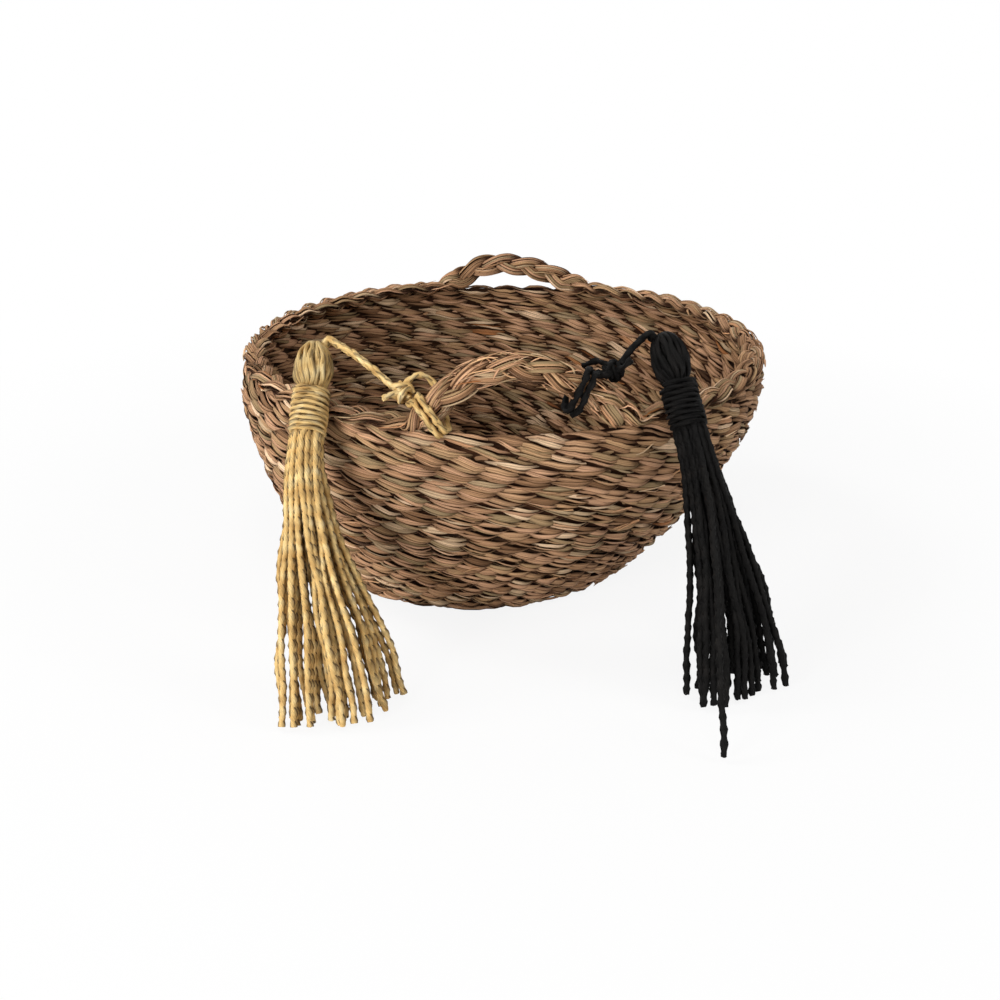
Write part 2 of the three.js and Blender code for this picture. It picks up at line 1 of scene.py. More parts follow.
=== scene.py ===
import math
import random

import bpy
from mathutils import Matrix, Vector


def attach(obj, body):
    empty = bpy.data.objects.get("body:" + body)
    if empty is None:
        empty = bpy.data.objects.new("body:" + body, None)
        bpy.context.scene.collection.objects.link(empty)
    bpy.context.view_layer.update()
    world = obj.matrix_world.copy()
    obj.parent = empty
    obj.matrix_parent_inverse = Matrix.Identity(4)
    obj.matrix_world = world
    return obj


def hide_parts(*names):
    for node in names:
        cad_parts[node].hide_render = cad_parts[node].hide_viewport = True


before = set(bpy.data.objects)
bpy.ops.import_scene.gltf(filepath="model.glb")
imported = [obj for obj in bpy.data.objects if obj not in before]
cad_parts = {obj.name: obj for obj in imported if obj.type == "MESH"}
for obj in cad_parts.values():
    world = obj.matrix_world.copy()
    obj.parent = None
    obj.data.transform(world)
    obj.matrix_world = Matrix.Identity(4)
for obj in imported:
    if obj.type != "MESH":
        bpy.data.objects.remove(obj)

# %% [markdown]
# This lesson dresses a seagrass planter basket. A real one is made of flat dry blades: pairs of them
# are twined round upright stakes to make the bowl, three bunches are plaited to make the rim, and the
# plait lifts off the wall twice to make the handles. Two tassels of twisted cord hang over the rim.
# The plain solids of the model say where everything is, and the pieces below stand for them.

MM = 0.001
UP = Vector((0, 0, 1))
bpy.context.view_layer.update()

# %% [markdown]
# The camera stands in front of the basket and a little above it, as the photographer did. Two rows of
# measured points, the ring of the rim and the ring of the base, gave its place and its angle.

# %% Camera
CAMERA_PLACE = (16.7 * MM, -740.6 * MM, 349.5 * MM)
CAMERA_DOWN = 23.504
FOCAL_PIXELS = 1287.6
IMAGE_PIXELS = 1000
SENSOR_WIDTH = 36


def added(name, data):
    """A new object with this data, put into the scene."""
    thing = bpy.data.objects.new(name, data)
    bpy.context.scene.collection.objects.link(thing)
    return thing


camera = added("camera", bpy.data.cameras.new("camera"))
camera.location = CAMERA_PLACE
camera.rotation_euler = (math.radians(90 - CAMERA_DOWN), 0, 0)
camera.data.sensor_width = SENSOR_WIDTH
camera.data.lens = SENSOR_WIDTH * FOCAL_PIXELS / IMAGE_PIXELS
camera.data.clip_start = 0.01
camera.data.clip_end = 100
bpy.context.scene.camera = camera
bpy.context.scene.view_settings.view_transform = "Standard"
print("camera lens", round(camera.data.lens, 2), "mm")

# %% [markdown]
# Node trees hold long sums. A Wire is one output of a node that can be added, multiplied and compared
# in plain arithmetic, and each operation puts one Math node in the tree. That keeps a rule such as
# the path of a weft strand readable.

# %% Wires and nodes
def plug(value, socket):
    """Gives a socket a wire or a plain value; None leaves it as it is."""
    if isinstance(value, Wire):
        socket.id_data.links.new(value.socket, socket)
    elif value is not None:
        socket.default_value = value


class Wire:
    def __init__(self, socket):
        self.socket = socket

    def __add__(self, other):
        return maths("ADD", self, other)

    def __radd__(self, other):
        return maths("ADD", other, self)

    def __sub__(self, other):
        return maths("SUBTRACT", self, other)

    def __rsub__(self, other):
        return maths("SUBTRACT", other, self)

    def __mul__(self, other):
        return maths("MULTIPLY", self, other)

    def __rmul__(self, other):
        return maths("MULTIPLY", other, self)

    def __truediv__(self, other):
        return maths("DIVIDE", self, other)

    def __rtruediv__(self, other):
        return maths("DIVIDE", other, self)

    def __pow__(self, other):
        return maths("POWER", self, other)

    def __mod__(self, other):
        return maths("FLOORED_MODULO", self, other)


def node(tree, kind, *values, out=0, **settings):
    """Adds a node, fills its open inputs in their order, and returns one of its outputs."""
    new = tree.nodes.new(kind)
    for name, value in settings.items():
        setattr(new, name, value)
    open_inputs = [socket for socket in new.inputs if socket.enabled]
    for value, socket in zip(values, open_inputs):
        plug(value, socket)
    open_outputs = [socket for socket in new.outputs if socket.enabled]
    return Wire(open_outputs[out])


def tree_of(values):
    """The tree that the first wire among these values belongs to."""
    return next(value for value in values if isinstance(value, Wire)).socket.id_data


def maths(operation, *values):
    return node(tree_of(values), "ShaderNodeMath", *values, operation=operation)


def sine(value):
    return maths("SINE", value)


def cosine(value):
    return maths("COSINE", value)


def whole(value):
    return maths("FLOOR", value)


def size(value):
    return maths("ABSOLUTE", value)


# %% [markdown]
# Vectors get the same treatment with a few helpers. Each tree below starts from named inputs, so its
# sizes can be changed on the modifier without opening the tree. A chance is a random value between
# two bounds. It depends only on its key, such as the number of a leaf, and on its seed, which is the
# last number of the call, so every run grows the same basket. A kept value is stored on the mesh,
# where the materials read it, and a known one is read back inside a tree.

# %% Vectors and tree inputs
def combined(tree, x, y, z):
    return node(tree, "ShaderNodeCombineXYZ", x, y, z)


def vectors(operation, *values):
    return node(tree_of(values), "ShaderNodeVectorMath", *values, operation=operation)


def scaled(vector, amount):
    new = vector.socket.id_data.nodes.new("ShaderNodeVectorMath")
    new.operation = "SCALE"
    plug(vector, new.inputs[0])
    plug(amount, new.inputs["Scale"])
    return Wire(new.outputs[0])


def parts(vector):
    new = vector.socket.id_data.nodes.new("ShaderNodeSeparateXYZ")
    plug(vector, new.inputs[0])
    return [Wire(socket) for socket in new.outputs]


def new_group(name, inputs, outputs, kind="ShaderNodeTree"):
    """A node group with named sockets, and a wire from each of its inputs."""
    tree = bpy.data.node_groups.new(name, kind)
    for way, sockets in (("INPUT", inputs), ("OUTPUT", outputs)):
        for label, value_kind in sockets.items():
            tree.interface.new_socket(label, in_out=way, socket_type="NodeSocket" + value_kind)
    entry = tree.nodes.new("NodeGroupInput")
    return tree, {socket.name: Wire(socket) for socket in entry.outputs if socket.name}


def new_tree(name, **inputs):
    sockets = {"Guide": "Geometry", **inputs}
    return new_group(name, sockets, {"Geometry": "Geometry"}, "GeometryNodeTree")


def closing(tree, **values):
    last = tree.nodes.new("NodeGroupOutput")
    for label, value in values.items():
        plug(value, last.inputs[label])


def finished(tree, geometry, material):
    real = node(tree, "GeometryNodeRealizeInstances", geometry)
    closing(tree, Geometry=node(tree, "GeometryNodeSetMaterial", real, True, material))


def chance(tree, low, high, key, seed):
    return node(tree, "FunctionNodeRandomValue", low, high, key, seed, data_type="FLOAT")


def kept(tree, geometry, name, value, domain="POINT"):
    return node(tree, "GeometryNodeStoreNamedAttribute", geometry, True, name, value, domain=domain)


def known(tree, name, kind="FLOAT"):
    return node(tree, "GeometryNodeInputNamedAttribute", name, data_type=kind)

# %% [markdown]
# The bowl's outline is the rule that everything else follows. It runs from the middle of the base to
# the top of the wall, halfway through the thickness, because that is where the stakes stand and where
# the two strands of a course change places. Its first points are rings of the base, and the wall's
# points follow them. The bowl leans a little to the right, low in the wall.

# %% Outline of the bowl
HEIGHT = 132 * MM
BASE_RADIUS = 98 * MM
BASE_ROUNDING = 4 * MM
BELLY_RADIUS = 154 * MM
BELLY_HEIGHT = 113 * MM
WALL_TOP = 124.7 * MM
WEAVE_TOP = WALL_TOP + 3 * MM
WALL_TOP_RADIUS = 151.5 * MM
WALL_FULLNESS = 1.6
WALL_THICKNESS = 8 * MM
LEAN = 19 * MM
LEAN_CURVE = 1.65
BASE_RINGS = (13 * MM, 40 * MM, 70 * MM, BASE_RADIUS - BASE_ROUNDING)
WALL_FIRST = len(BASE_RINGS)


def wall_radius(height):
    if height > BELLY_HEIGHT:
        share = (height - BELLY_HEIGHT) / (WALL_TOP - BELLY_HEIGHT)
        return BELLY_RADIUS - (BELLY_RADIUS - WALL_TOP_RADIUS) * share * share
    fullness = 1 - (1 - height / BELLY_HEIGHT) ** WALL_FULLNESS
    return BASE_RADIUS + (BELLY_RADIUS - BASE_RADIUS) * fullness


def lean_at(height):
    return LEAN * (1 - max(0, 1 - height / HEIGHT) ** LEAN_CURVE)


def line_mesh(name, lines):
    """A mesh of plain edges: one chain of points for each line."""
    points, edges = [], []
    for line in lines:
        edges += [(len(points) + i, len(points) + i + 1) for i in range(len(line) - 1)]
        points += [tuple(point) for point in line]
    mesh = bpy.data.meshes.new(name)
    mesh.from_pydata(points, edges, [])
    return mesh


def length_of(line):
    return sum((b - a).length for a, b in zip(line, line[1:]))


def bowl_outline(depth, steps=60):
    outside = [Vector((radius, 0, 0)) for radius in BASE_RINGS]
    for step in range(steps + 1):
        height = BASE_ROUNDING + (WEAVE_TOP - BASE_ROUNDING) * step / steps
        outside.append(Vector((wall_radius(height), 0, height)))
    line = []
    for i, point in enumerate(outside):
        ahead = outside[min(i + 1, len(outside) - 1)] - outside[max(i - 1, 0)]
        line.append(point + depth * Vector((-ahead.z, 0, ahead.x)).normalized())
    return line


outline = bowl_outline(WALL_THICKNESS / 2)
outline_mesh = line_mesh("outline", [outline])
outline_length = length_of(outline)
print("outline of the bowl", round(outline_length / MM, 1), "mm long")

# %% [markdown]
# A course of twining is two strands that cross between every two stakes, one passing in front while
# the other passes behind. A strand is a bunch of flat blades, and it is the edges of the blades, with
# dark gaps between them, that make the weave look like grass. Drawn by hand and copied, every leaf of
# the weave would be the same. So a node tree bends a long thin sheet into each blade: along the sheet
# the strand swings in and out and rises and falls, and across it lies the section of one blade.
# Half of the blades lie on the strand's outer face and half on its inner face. Random values with a
# fixed seed give each leaf its own width and tint, and each blade its own place, width and tilt. A
# blade takes new values only where its face is hidden, behind a stake, so no blade seems to break.
# One sheet between the two strands stands for the fibres deep in the weave, painted in dark shade.

# %% One blade's section
FACE_BLADES = 3
MERGE_DISTANCE = 0.01 * MM


def blade_section(side, ridge):
    """Across and through a flat blade with a low ridge on both faces, as shares of its half sizes."""
    turn = side * (math.pi / 2)
    return cosine(turn) + size(sine(turn)) * ridge, sine(turn)


def blade_sheets(tree, given, count):
    """One sheet for each blade, four faces round; each point knows its row, its place and its side."""
    sheet = node(tree, "GeometryNodeMeshGrid", 1.0, 1.0, given["Steps"], 5)
    rows = node(tree, "GeometryNodeMeshLine", count, mode="OFFSET")
    copies = node(tree, "GeometryNodeInstanceOnPoints", rows, True, sheet)
    numbered = kept(tree, copies, "row", node(tree, "GeometryNodeInputIndex"), domain="INSTANCE")
    sheets = node(tree, "GeometryNodeRealizeInstances", numbered)
    x, y, _ = parts(node(tree, "GeometryNodeInputPosition"))
    return sheets, known(tree, "row"), x + 0.5, maths("ROUND", (y + 0.5) * 4)


def marks(tree, sheets, side, **values):
    """What the materials read later, stored on every point, and where a blade has its sharp edges."""
    values["edge"] = size(cosine(side * (math.pi / 2)))
    for name, value in values.items():
        sheets = kept(tree, sheets, name, value)
    return sheets


def sharpened(tree, geometry):
    """Smooth faces, but a crisp line along both edges of every blade."""
    smooth = node(tree, "GeometryNodeSetShadeSmooth", geometry)
    crisp = maths("GREATER_THAN", known(tree, "edge"), 0.9)
    return node(tree, "GeometryNodeSetShadeSmooth", smooth, crisp, False, domain="EDGE")


print("each face of a strand shows", FACE_BLADES, "blades")

# %% [markdown]
# The rule of a course has two parts. The first says where the strand's middle runs; the second
# places one blade on one face of it. The sheets of a course are numbered through: the blades of the
# first strand, those of the second, and the dark sheet. Each course starts 0.62 of a leaf on from
# the last, so that no two courses near each other line up. A leaf is fullest in front of a stake and
# narrow where the strands cross.

# %% The course tree
SHEETS_IN_COURSE = 4 * FACE_BLADES + 1
COURSE_SHIFT = 1.94
LEAF_WIDTHS = (0.92, 1.18)
CROSSING_WIDTH = 0.74
BLADE_SPACING = 0.64
BLADE_HALF_WIDTH = 0.37
FAN = 0.36


def strand_in_course(tree, given, row, share):
    """Which blade, strand and course a sheet is, and the phase of its strand's wave."""
    strip, course = row % SHEETS_IN_COURSE, whole(row / SHEETS_IN_COURSE)
    blade, ply = strip % (2 * FACE_BLADES), whole(strip / (2 * FACE_BLADES))
    number = course + whole(given["First"] / given["Pitch"])
    angle = share * math.tau
    ring = combined(tree, cosine(angle), sine(angle), number * 3.7)
    sway = node(tree, "ShaderNodeTexNoise", ring, 2.2, 1.0) - 0.5
    shift = number * COURSE_SHIFT + chance(tree, -0.5, 0.5, number, 3)
    phase = angle * given["Stakes"] / 2 + ply * math.pi + shift + sway * 2.6
    return blade, ply, course, number, angle, ring, sway, phase


def blade_in_leaf(tree, given, side, blade, ply, number, phase, ring, sway):
    """How far a blade's point lies out from the outline and up along it, and what its material needs."""
    # Deep is 1 on the dark sheet, and inner is 1 on the blades of the strand's inner face
    deep = maths("GREATER_THAN", ply, 1.5)
    inner = maths("GREATER_THAN", blade, FACE_BLADES - 0.5)
    facing = 1 - inner * 2
    # The key is the leaf's own number, and changes where the blade's face is hidden
    turned = phase / math.tau + 0.5 + inner * 0.5
    key = number * 211 + (whole(turned) % (given["Stakes"] / 2)) * 4 + ply * 2 + inner
    own = key * 7 + blade
    # Front is 1 where the face is nearest and -1 where it is hidden
    front = cosine(phase) * facing
    seen = maths("MINIMUM", (1 + front) * 1.5, 1.0)
    show = maths("MAXIMUM", front, 0.0) ** 0.8
    # The blade's own section, place in the leaf, width and tilt
    across, through = blade_section(side, chance(tree, -0.4, 0.4, own, 9))
    place = (blade % FACE_BLADES - 1) * BLADE_SPACING + chance(tree, -0.16, 0.16, own, 13) * seen
    full_width = chance(tree, *LEAF_WIDTHS, key, 11)
    wide = given["Leaf"] * (CROSSING_WIDTH + (full_width - CROSSING_WIDTH) * show)
    share = BLADE_HALF_WIDTH + chance(tree, -0.06, 0.14, own, 17) * seen
    half_blade = wide * share * (0.68 + show * 0.32)
    tilt = place * -0.7 + chance(tree, -0.45, 0.45, own, 19) * seen
    ripple = node(tree, "ShaderNodeTexNoise", scaled(ring, 9.0), 4.0, 2.0) - 0.5
    # Out from the outline: the strand's swing, the leaf's round back and the blade's section
    swing = given["Swing"] * front * (1.4 - front * front * 0.4)
    dome = given["Bulge"] * (1 - place * place * 1.1) + chance(tree, -0.4, 0.7, own, 23) * show * MM
    out = (swing + dome + across * half_blade * sine(tilt)) * facing * (1 - deep)
    out = out + through * (given["Blade"] * 0.5 + deep * MM) + ripple * (0.7 * MM)
    # Up along the outline: the strand's rise, the blade's place and its fan
    fan = chance(tree, -FAN, FAN, own, 37) * given["Leaf"] * sine(phase) * seen
    up = sine(phase) * given["Rise"] * -1 + wide * place + across * half_blade * cosine(tilt) + fan
    up = up * (1 - deep) + across * given["Pitch"] * 0.62 * deep + (sway * 1.3 + ripple * 1.2) * MM
    # Painted shade: darker where the face is hidden and towards the leaf's ends, and full on the deep sheet
    shade_where_hidden = maths("MAXIMUM", (1 - seen) * 0.9 + (1 - show) * 0.42, deep)
    return out, up, key, own, shade_where_hidden, across


def lean_in_tree(height):
    """The rule of lean_at, as nodes."""
    left = maths("MAXIMUM", 1 - height / HEIGHT, 0.0)
    return LEAN * (1 - left ** LEAN_CURVE)


def bent_sheets(tree, given, sheets, angle, out, reached):
    """Lays the sheets round the bowl, so far along its outline and so far out from it."""
    outline_curve = node(tree, "GeometryNodeMeshToCurve", given["Guide"])
    sampled = tree.nodes.new("GeometryNodeSampleCurve")
    sampled.mode = "LENGTH"
    plug(outline_curve, sampled.inputs["Curves"])
    plug(reached, sampled.inputs["Length"])
    radius, _, height = parts(Wire(sampled.outputs["Position"]))
    ahead, _, climb = parts(Wire(sampled.outputs["Tangent"]))
    radius = radius + climb * out
    height = height - ahead * out
    lean = lean_in_tree(height)
    height = maths("MAXIMUM", height, 0.0)
    place = combined(tree, radius * sine(angle) + lean, radius * cosine(angle) * -1, height)
    bent = node(tree, "GeometryNodeSetPosition", sheets, True, place)
    return node(tree, "GeometryNodeMergeByDistance", bent, True, MERGE_DISTANCE)


def course_tree():
    tree, given = new_tree(
        "Twined courses",
        Courses="Int",
        First="Float",
        Pitch="Float",
        Stakes="Float",
        Steps="Int",
        Swing="Float",
        Rise="Float",
        Leaf="Float",
        Bulge="Float",
        Blade="Float",
        Material="Material",
    )
    sheets, row, share, side = blade_sheets(tree, given, given["Courses"] * SHEETS_IN_COURSE)
    blade, ply, course, number, angle, ring, sway, phase = strand_in_course(tree, given, row, share)
    out, up, key, own, crease, across = blade_in_leaf(
        tree, given, side, blade, ply, number, phase, ring, sway
    )
    reached = given["First"] + (course + 0.5) * given["Pitch"] + up
    tint, tone = chance(tree, 0.0, 1.0, key, 41), chance(tree, 0.0, 1.0, own, 51)
    marked = marks(tree, sheets, side, tint=tint, blade=tone, crease=crease, across=across)
    bent = bent_sheets(tree, given, marked, angle, out, reached)
    finished(tree, sharpened(tree, bent), given["Material"])
    return tree


COURSES = course_tree()
print("course tree with", len(COURSES.nodes), "nodes")

# %% [markdown]
# A tree works on a guide mesh. The last helper below sets the tree's inputs by their identifiers, lets
# Blender work the result out once, and keeps it as a plain mesh. The guide and its modifier go away.
# The faces of a closed piece point outwards if its signed volume is above zero.

# %% Growing a piece from a guide
def signed_volume(mesh):
    mesh.calc_loop_triangles()
    points = [vertex.co for vertex in mesh.vertices]
    total = 0.0
    for triangle in mesh.loop_triangles:
        a, b, c = (points[i] for i in triangle.vertices)
        total += a.dot(b.cross(c))
    return total / 6


def placed(name, mesh, body, nodes=()):
    """A finished mesh as a piece of its own, facing outwards and on its body."""
    if signed_volume(mesh) < 0:
        mesh.flip_normals()
    piece = added(name, mesh)
    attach(piece, body)
    if nodes:
        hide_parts(*nodes)
    print(name, len(mesh.loop_triangles), "triangles")
    return piece


def grown(name, guide_mesh, tree, slot, body, nodes=(), **sizes):
    """What a tree grows from a guide mesh, as a piece. The sizes are the tree's named inputs."""
    guide = added(name + "_guide", guide_mesh)
    modifier = guide.modifiers.new("growth", "NODES")
    modifier.node_group = tree
    for item in tree.interface.items_tree:
        if item.in_out == "INPUT" and item.name in sizes:
            modifier[item.identifier] = sizes[item.name]
    graph = bpy.context.evaluated_depsgraph_get()
    mesh = bpy.data.meshes.new_from_object(guide.evaluated_get(graph), depsgraph=graph)
    guide.modifiers.clear()
    bpy.data.objects.remove(guide)
    mesh.name = name
    return placed(name, mesh, body, nodes)


# %% [markdown]
# Dry seagrass is straw-coloured, but no two blades match: some are pink, some keep a grey green, and
# a few are burnt orange. The colours are mixed in the material from the tints that the tree stored.
# Colours are given as they look on a screen, and turned into the light values that Blender mixes.

# %% Colours
def paint(red, green, blue):
    def light(value):
        value /= 255
        return value / 12.92 if value <= 0.04045 else ((value + 0.055) / 1.055) ** 2.4

    return (light(red), light(green), light(blue), 1)


def spread(tree, position, stops):
    """A row of colours that a value from 0 to 1 picks from."""
    ramp = tree.nodes.new("ShaderNodeValToRGB")
    ramp.color_ramp.interpolation = "LINEAR"
    while len(ramp.color_ramp.elements) < len(stops):
        ramp.color_ramp.elements.new(0.5)
    for element, (place, colour) in zip(ramp.color_ramp.elements, stops):
        element.position = place
        element.color = colour
    plug(position, ramp.inputs[0])
    return Wire(ramp.outputs[0])


def shaded(stops, share):
    """The same row of colours, with each colour's light multiplied by a share."""
    return [(place, (*(part * share for part in colour[:3]), 1)) for place, colour in stops]


SEAGRASS = [
    (0.0, paint(80, 55, 38)),
    (0.12, paint(130, 97, 69)),
    (0.3, paint(174, 135, 101)),
    (0.45, paint(196, 154, 122)),
    (0.58, paint(184, 147, 109)),
    (0.7, paint(150, 129, 96)),
    (0.84, paint(234, 202, 168)),
    (0.95, paint(172, 116, 72)),
    (1.0, paint(124, 78, 46)),
]
print("seagrass has", len(SEAGRASS), "tints")

# %% [markdown]
# Both the blades and the cords have fine lines along them. That effect is a node group used by every
# material: it stretches a noise along the fibre, and gives a streak value for the colour and a height
# for the bump. A second group lays the streaks on the colour and darkens it as painted shade where the
# shade mask is high: in creases, between blades and where strands go under.

# %% Shared groups
STREAK_STOPS = [
    (0.34, (0.17, 0.14, 0.12, 1)),
    (0.47, (0.84, 0.81, 0.78, 1)),
    (0.64, (1.55, 1.53, 1.48, 1)),
]
DEEP_SHADE = (0.07, 0.045, 0.035, 1)


def colour_mix(tree, blend, amount, first, second):
    mix = tree.nodes.new("ShaderNodeMix")
    mix.data_type, mix.blend_type = "RGBA", blend
    colours = [socket for socket in mix.inputs if socket.type == "RGBA"]
    plug(amount, mix.inputs[0])
    plug(first, colours[0])
    plug(second, colours[1])
    return Wire(next(socket for socket in mix.outputs if socket.type == "RGBA"))


def fibre_group():
    """Noise drawn out along the fibres."""
    tree, given = new_group(
        "Fibre lines",
        {"Across": "Float", "Blade": "Float", "Fineness": "Float", "Length": "Float"},
        {"Streak": "Float", "Height": "Float"},
    )
    x, y, z = parts(node(tree, "ShaderNodeTexCoord", out=3))
    stretch = 1000 / given["Length"]
    lines = given["Across"] * given["Fineness"] + given["Blade"] * 37
    drawn = combined(tree, x * stretch + lines * 0.13, y * stretch, z * stretch)
    fine = node(tree, "ShaderNodeTexNoise", drawn, lines, 1.0, 3.0, 0.6, noise_dimensions="4D")
    broad = node(tree, "ShaderNodeTexNoise", drawn, lines * 0.3, 0.6, 2.0, noise_dimensions="4D")
    closing(tree, Streak=fine * 0.6 + broad * 0.4, Height=fine)
    return tree


def streak_and_shade_group():
    """The streaks over a colour, and the colour darkened as painted shade where the shade mask is high."""
    tree, given = new_group(
        "Creases", {"Color": "Color", "Crease": "Float", "Streak": "Float"}, {"Color": "Color"}
    )
    streaks = spread(tree, given["Streak"], STREAK_STOPS)
    streaked = colour_mix(tree, "MULTIPLY", 1.0, given["Color"], streaks)
    shadowed = colour_mix(tree, "MULTIPLY", 1.0, streaked, DEEP_SHADE)
    shade = maths("MINIMUM", given["Crease"] * 1.3, 1.0)
    closing(tree, Color=colour_mix(tree, "MIX", shade, streaked, shadowed))
    return tree


FIBRES = fibre_group()
STREAK_AND_SHADE = streak_and_shade_group()
print("shared groups:", FIBRES.name, "and", STREAK_AND_SHADE.name)

# %% [markdown]
# A material reads the stored attributes, picks a colour for the leaf, shifts it a little for each
# blade, and sends it through the two groups, which lay on the streaks and the painted shade. The
# roughness follows the streaks, because the smooth skin of a blade shines more than its torn edges,
# and it is higher where shade is painted. So the material takes two values for it: for the darkest
# streaks and for the palest.

# %% Fibre materials
def read(tree, name):
    attribute = tree.nodes.new("ShaderNodeAttribute")
    attribute.attribute_name = name
    return Wire(attribute.outputs["Fac"])


def grouped(tree, group, **values):
    new = tree.nodes.new("ShaderNodeGroup")
    new.node_tree = group
    for label, value in values.items():
        plug(value, new.inputs[label])
    return [Wire(socket) for socket in new.outputs]


def fibre_material(name, stops, blade_share, fineness, length, rough, bump, specular=0.12, contrast=1.0):
    """The blade's share is how much of its tint a blade has of its own, fineness is how many lines
    lie across it, and length is how long a streak is, in millimetres."""
    material = bpy.data.materials.new(name)
    material.use_nodes = True
    tree = material.node_tree
    shader = tree.nodes["Principled BSDF"]
    blade, across = read(tree, "blade"), read(tree, "across")
    streak, height = grouped(
        tree, FIBRES, Across=across, Blade=blade, Fineness=fineness, Length=length
    )
    tint = read(tree, "tint") * (1 - blade_share) + blade * blade_share
    # Painted shade: the stored mask, and a dark line painted along both edges of every blade and along one
    # side of every ply
    crease = read(tree, "crease") + size(across) ** 4.0 * 0.7
    lines = (streak - 0.5) * contrast + 0.5
    colour = grouped(tree, STREAK_AND_SHADE, Color=spread(tree, tint, stops), Crease=crease, Streak=lines)[0]
    plug(colour, shader.inputs["Base Color"])
    roughness = rough[0] + (rough[1] - rough[0]) * streak + crease * 0.3
    plug(maths("MINIMUM", roughness, 1.0), shader.inputs["Roughness"])
    relief = tree.nodes.new("ShaderNodeBump")
    relief.inputs["Strength"].default_value = bump
    relief.inputs["Distance"].default_value = 0.6 * MM
    plug(height, relief.inputs["Height"])
    tree.links.new(relief.outputs[0], shader.inputs["Normal"])
    shader.inputs["Specular IOR Level"].default_value = specular
    return material


weave_finish = fibre_material("twined seagrass", SEAGRASS, 0.45, 26, 60, (0.8, 0.55), 0.5, contrast=1.4)
print("made", weave_finish.name)

# %% [markdown]
# The wall has twenty-three courses. It is grown in five bands, so that no piece is too heavy. The base
# is the same twining round fewer stakes, from a small crossing in the middle to the wall. The top
# course runs a little way up under the rim plait, so that no light comes through between them. The
# sizes say how far a strand swings in and out, how far it rises and falls, how wide a leaf is, how
# round its back is, and how thick a blade is.

# %% Weaving the bowl
STAKE_COUNT = 44
BANDS = {
    "wall_weave_foot": 5,
    "wall_weave_low": 5,
    "wall_weave_middle": 5,
    "wall_weave_high": 4,
    "wall_weave_top": 4,
}
WALL_START = outline_length - length_of(outline[WALL_FIRST:])
PITCH = (outline_length - WALL_START) / sum(BANDS.values())
WALL_WEAVE = dict(
    Stakes=float(STAKE_COUNT), Steps=8 * STAKE_COUNT + 1, Pitch=PITCH, Swing=2.1 * MM, Rise=1.75 * MM,
    Leaf=3.5 * MM, Bulge=1.4 * MM, Blade=0.7 * MM, Material=weave_finish,
)
below = 0
for name, courses in BANDS.items():
    nodes = ["wall_weave_outside", "wall_weave_inside"] if name == "wall_weave_top" else []
    grown(
        name, outline_mesh, COURSES, "seagrass_weave", "basket", nodes,
        First=WALL_START + below * PITCH, Courses=courses, **WALL_WEAVE,
    )
    below += courses
BASE_COURSES = 14
grown(
    "base_weave", outline_mesh, COURSES, "seagrass_weave", "basket",
    ["base_weave_outside", "base_weave_inside"],
    First=0.0, Courses=BASE_COURSES, Pitch=WALL_START / BASE_COURSES, Stakes=24.0, Steps=133,
    Swing=1.9 * MM, Rise=1.3 * MM, Leaf=3.0 * MM, Bulge=1.2 * MM, Blade=0.7 * MM, Material=weave_finish,
)

# %% [markdown]
# The stakes are flat strips that stand inside the twining and cross in the middle of the base. They
# hardly show, but without them light would come through the weave. One strip follows the outline, and
# the tree sets copies of it round the bowl.

# %% Stakes
STAKE_FOOT = 41 * MM
STAKE_TOP = 120 * MM


def circle(tree, sides):
    """A circle of radius 1 with so many sides, from which a section is made."""
    new = tree.nodes.new("GeometryNodeCurvePrimitiveCircle")
    plug(sides, new.inputs["Resolution"])
    new.inputs["Radius"].default_value = 1.0
    return Wire(new.outputs[0])


def flat_section(tree, given, sides):
    halves = combined(tree, given["Width"] / 2, given["Thickness"] / 2, 1.0)
    return node(tree, "GeometryNodeTransform", circle(tree, sides), None, None, halves)


def stake_tree():
    tree, given = new_tree(
        "Stakes round the bowl", Count="Int", Width="Float", Thickness="Float", Material="Material"
    )
    strip = node(tree, "GeometryNodeMeshToCurve", given["Guide"])
    places = node(tree, "GeometryNodeMeshLine", given["Count"], (0, 0, 0), (0, 0, 0), mode="OFFSET")
    index = node(tree, "GeometryNodeInputIndex")
    turn = combined(tree, 0.0, 0.0, (index + 0.5) / given["Count"] * math.tau)
    copies = node(tree, "GeometryNodeInstanceOnPoints", places, True, strip, False, None, turn)
    numbered = kept(tree, copies, "tint", chance(tree, 0.2, 0.9, index, 5), domain="INSTANCE")
    lines = node(tree, "GeometryNodeRealizeInstances", numbered)
    upright = node(tree, "GeometryNodeSetCurveNormal", lines, mode="MINIMUM_TWIST")
    strips = node(tree, "GeometryNodeCurveToMesh", upright, flat_section(tree, given, 8), None, True)
    x, y, z = parts(node(tree, "GeometryNodeInputPosition"))
    leaned = combined(tree, x + lean_in_tree(z), y, z)
    standing = node(tree, "GeometryNodeSetPosition", strips, True, leaned)
    finished(tree, node(tree, "GeometryNodeSetShadeSmooth", standing), given["Material"])
    return tree


STAKES = stake_tree()
stake_finish = fibre_material("flat seagrass strips", SEAGRASS, 0.2, 20, 60, (0.85, 0.65), 0.4)
stake_line = [point for point in outline if point.x > STAKE_FOOT and point.z < STAKE_TOP]
grown(
    "wall_stakes", line_mesh("stake line", [stake_line]), STAKES, "seagrass_stake", "basket", ["stakes"],
    Count=STAKE_COUNT, Width=8 * MM, Thickness=1.2 * MM, Material=stake_finish,
)

# %% [markdown]
# In the middle of the base, two sets of strips are woven over and under each other. The photograph
# doesn't show it, so it is the plainest crossing that such a basket has.

# %% Crossing in the base
CROSSING_STRIPS = 7
CROSSING_PITCH = 6 * MM
CROSSING_STEPS = 4
CROSSING_HEIGHT = 4 * MM
CROSSING_LIFT = 0.7 * MM
STRIP_WIDTH = 5.4 * MM
STRIP_THICKNESS = 1.3 * MM
STRIP_SECTION = [
    (-0.5, 0), (-0.42, 0.4), (0, 0.5), (0.42, 0.4), (0.5, 0), (0.42, -0.4), (0, -0.5), (-0.42, -0.4)
]


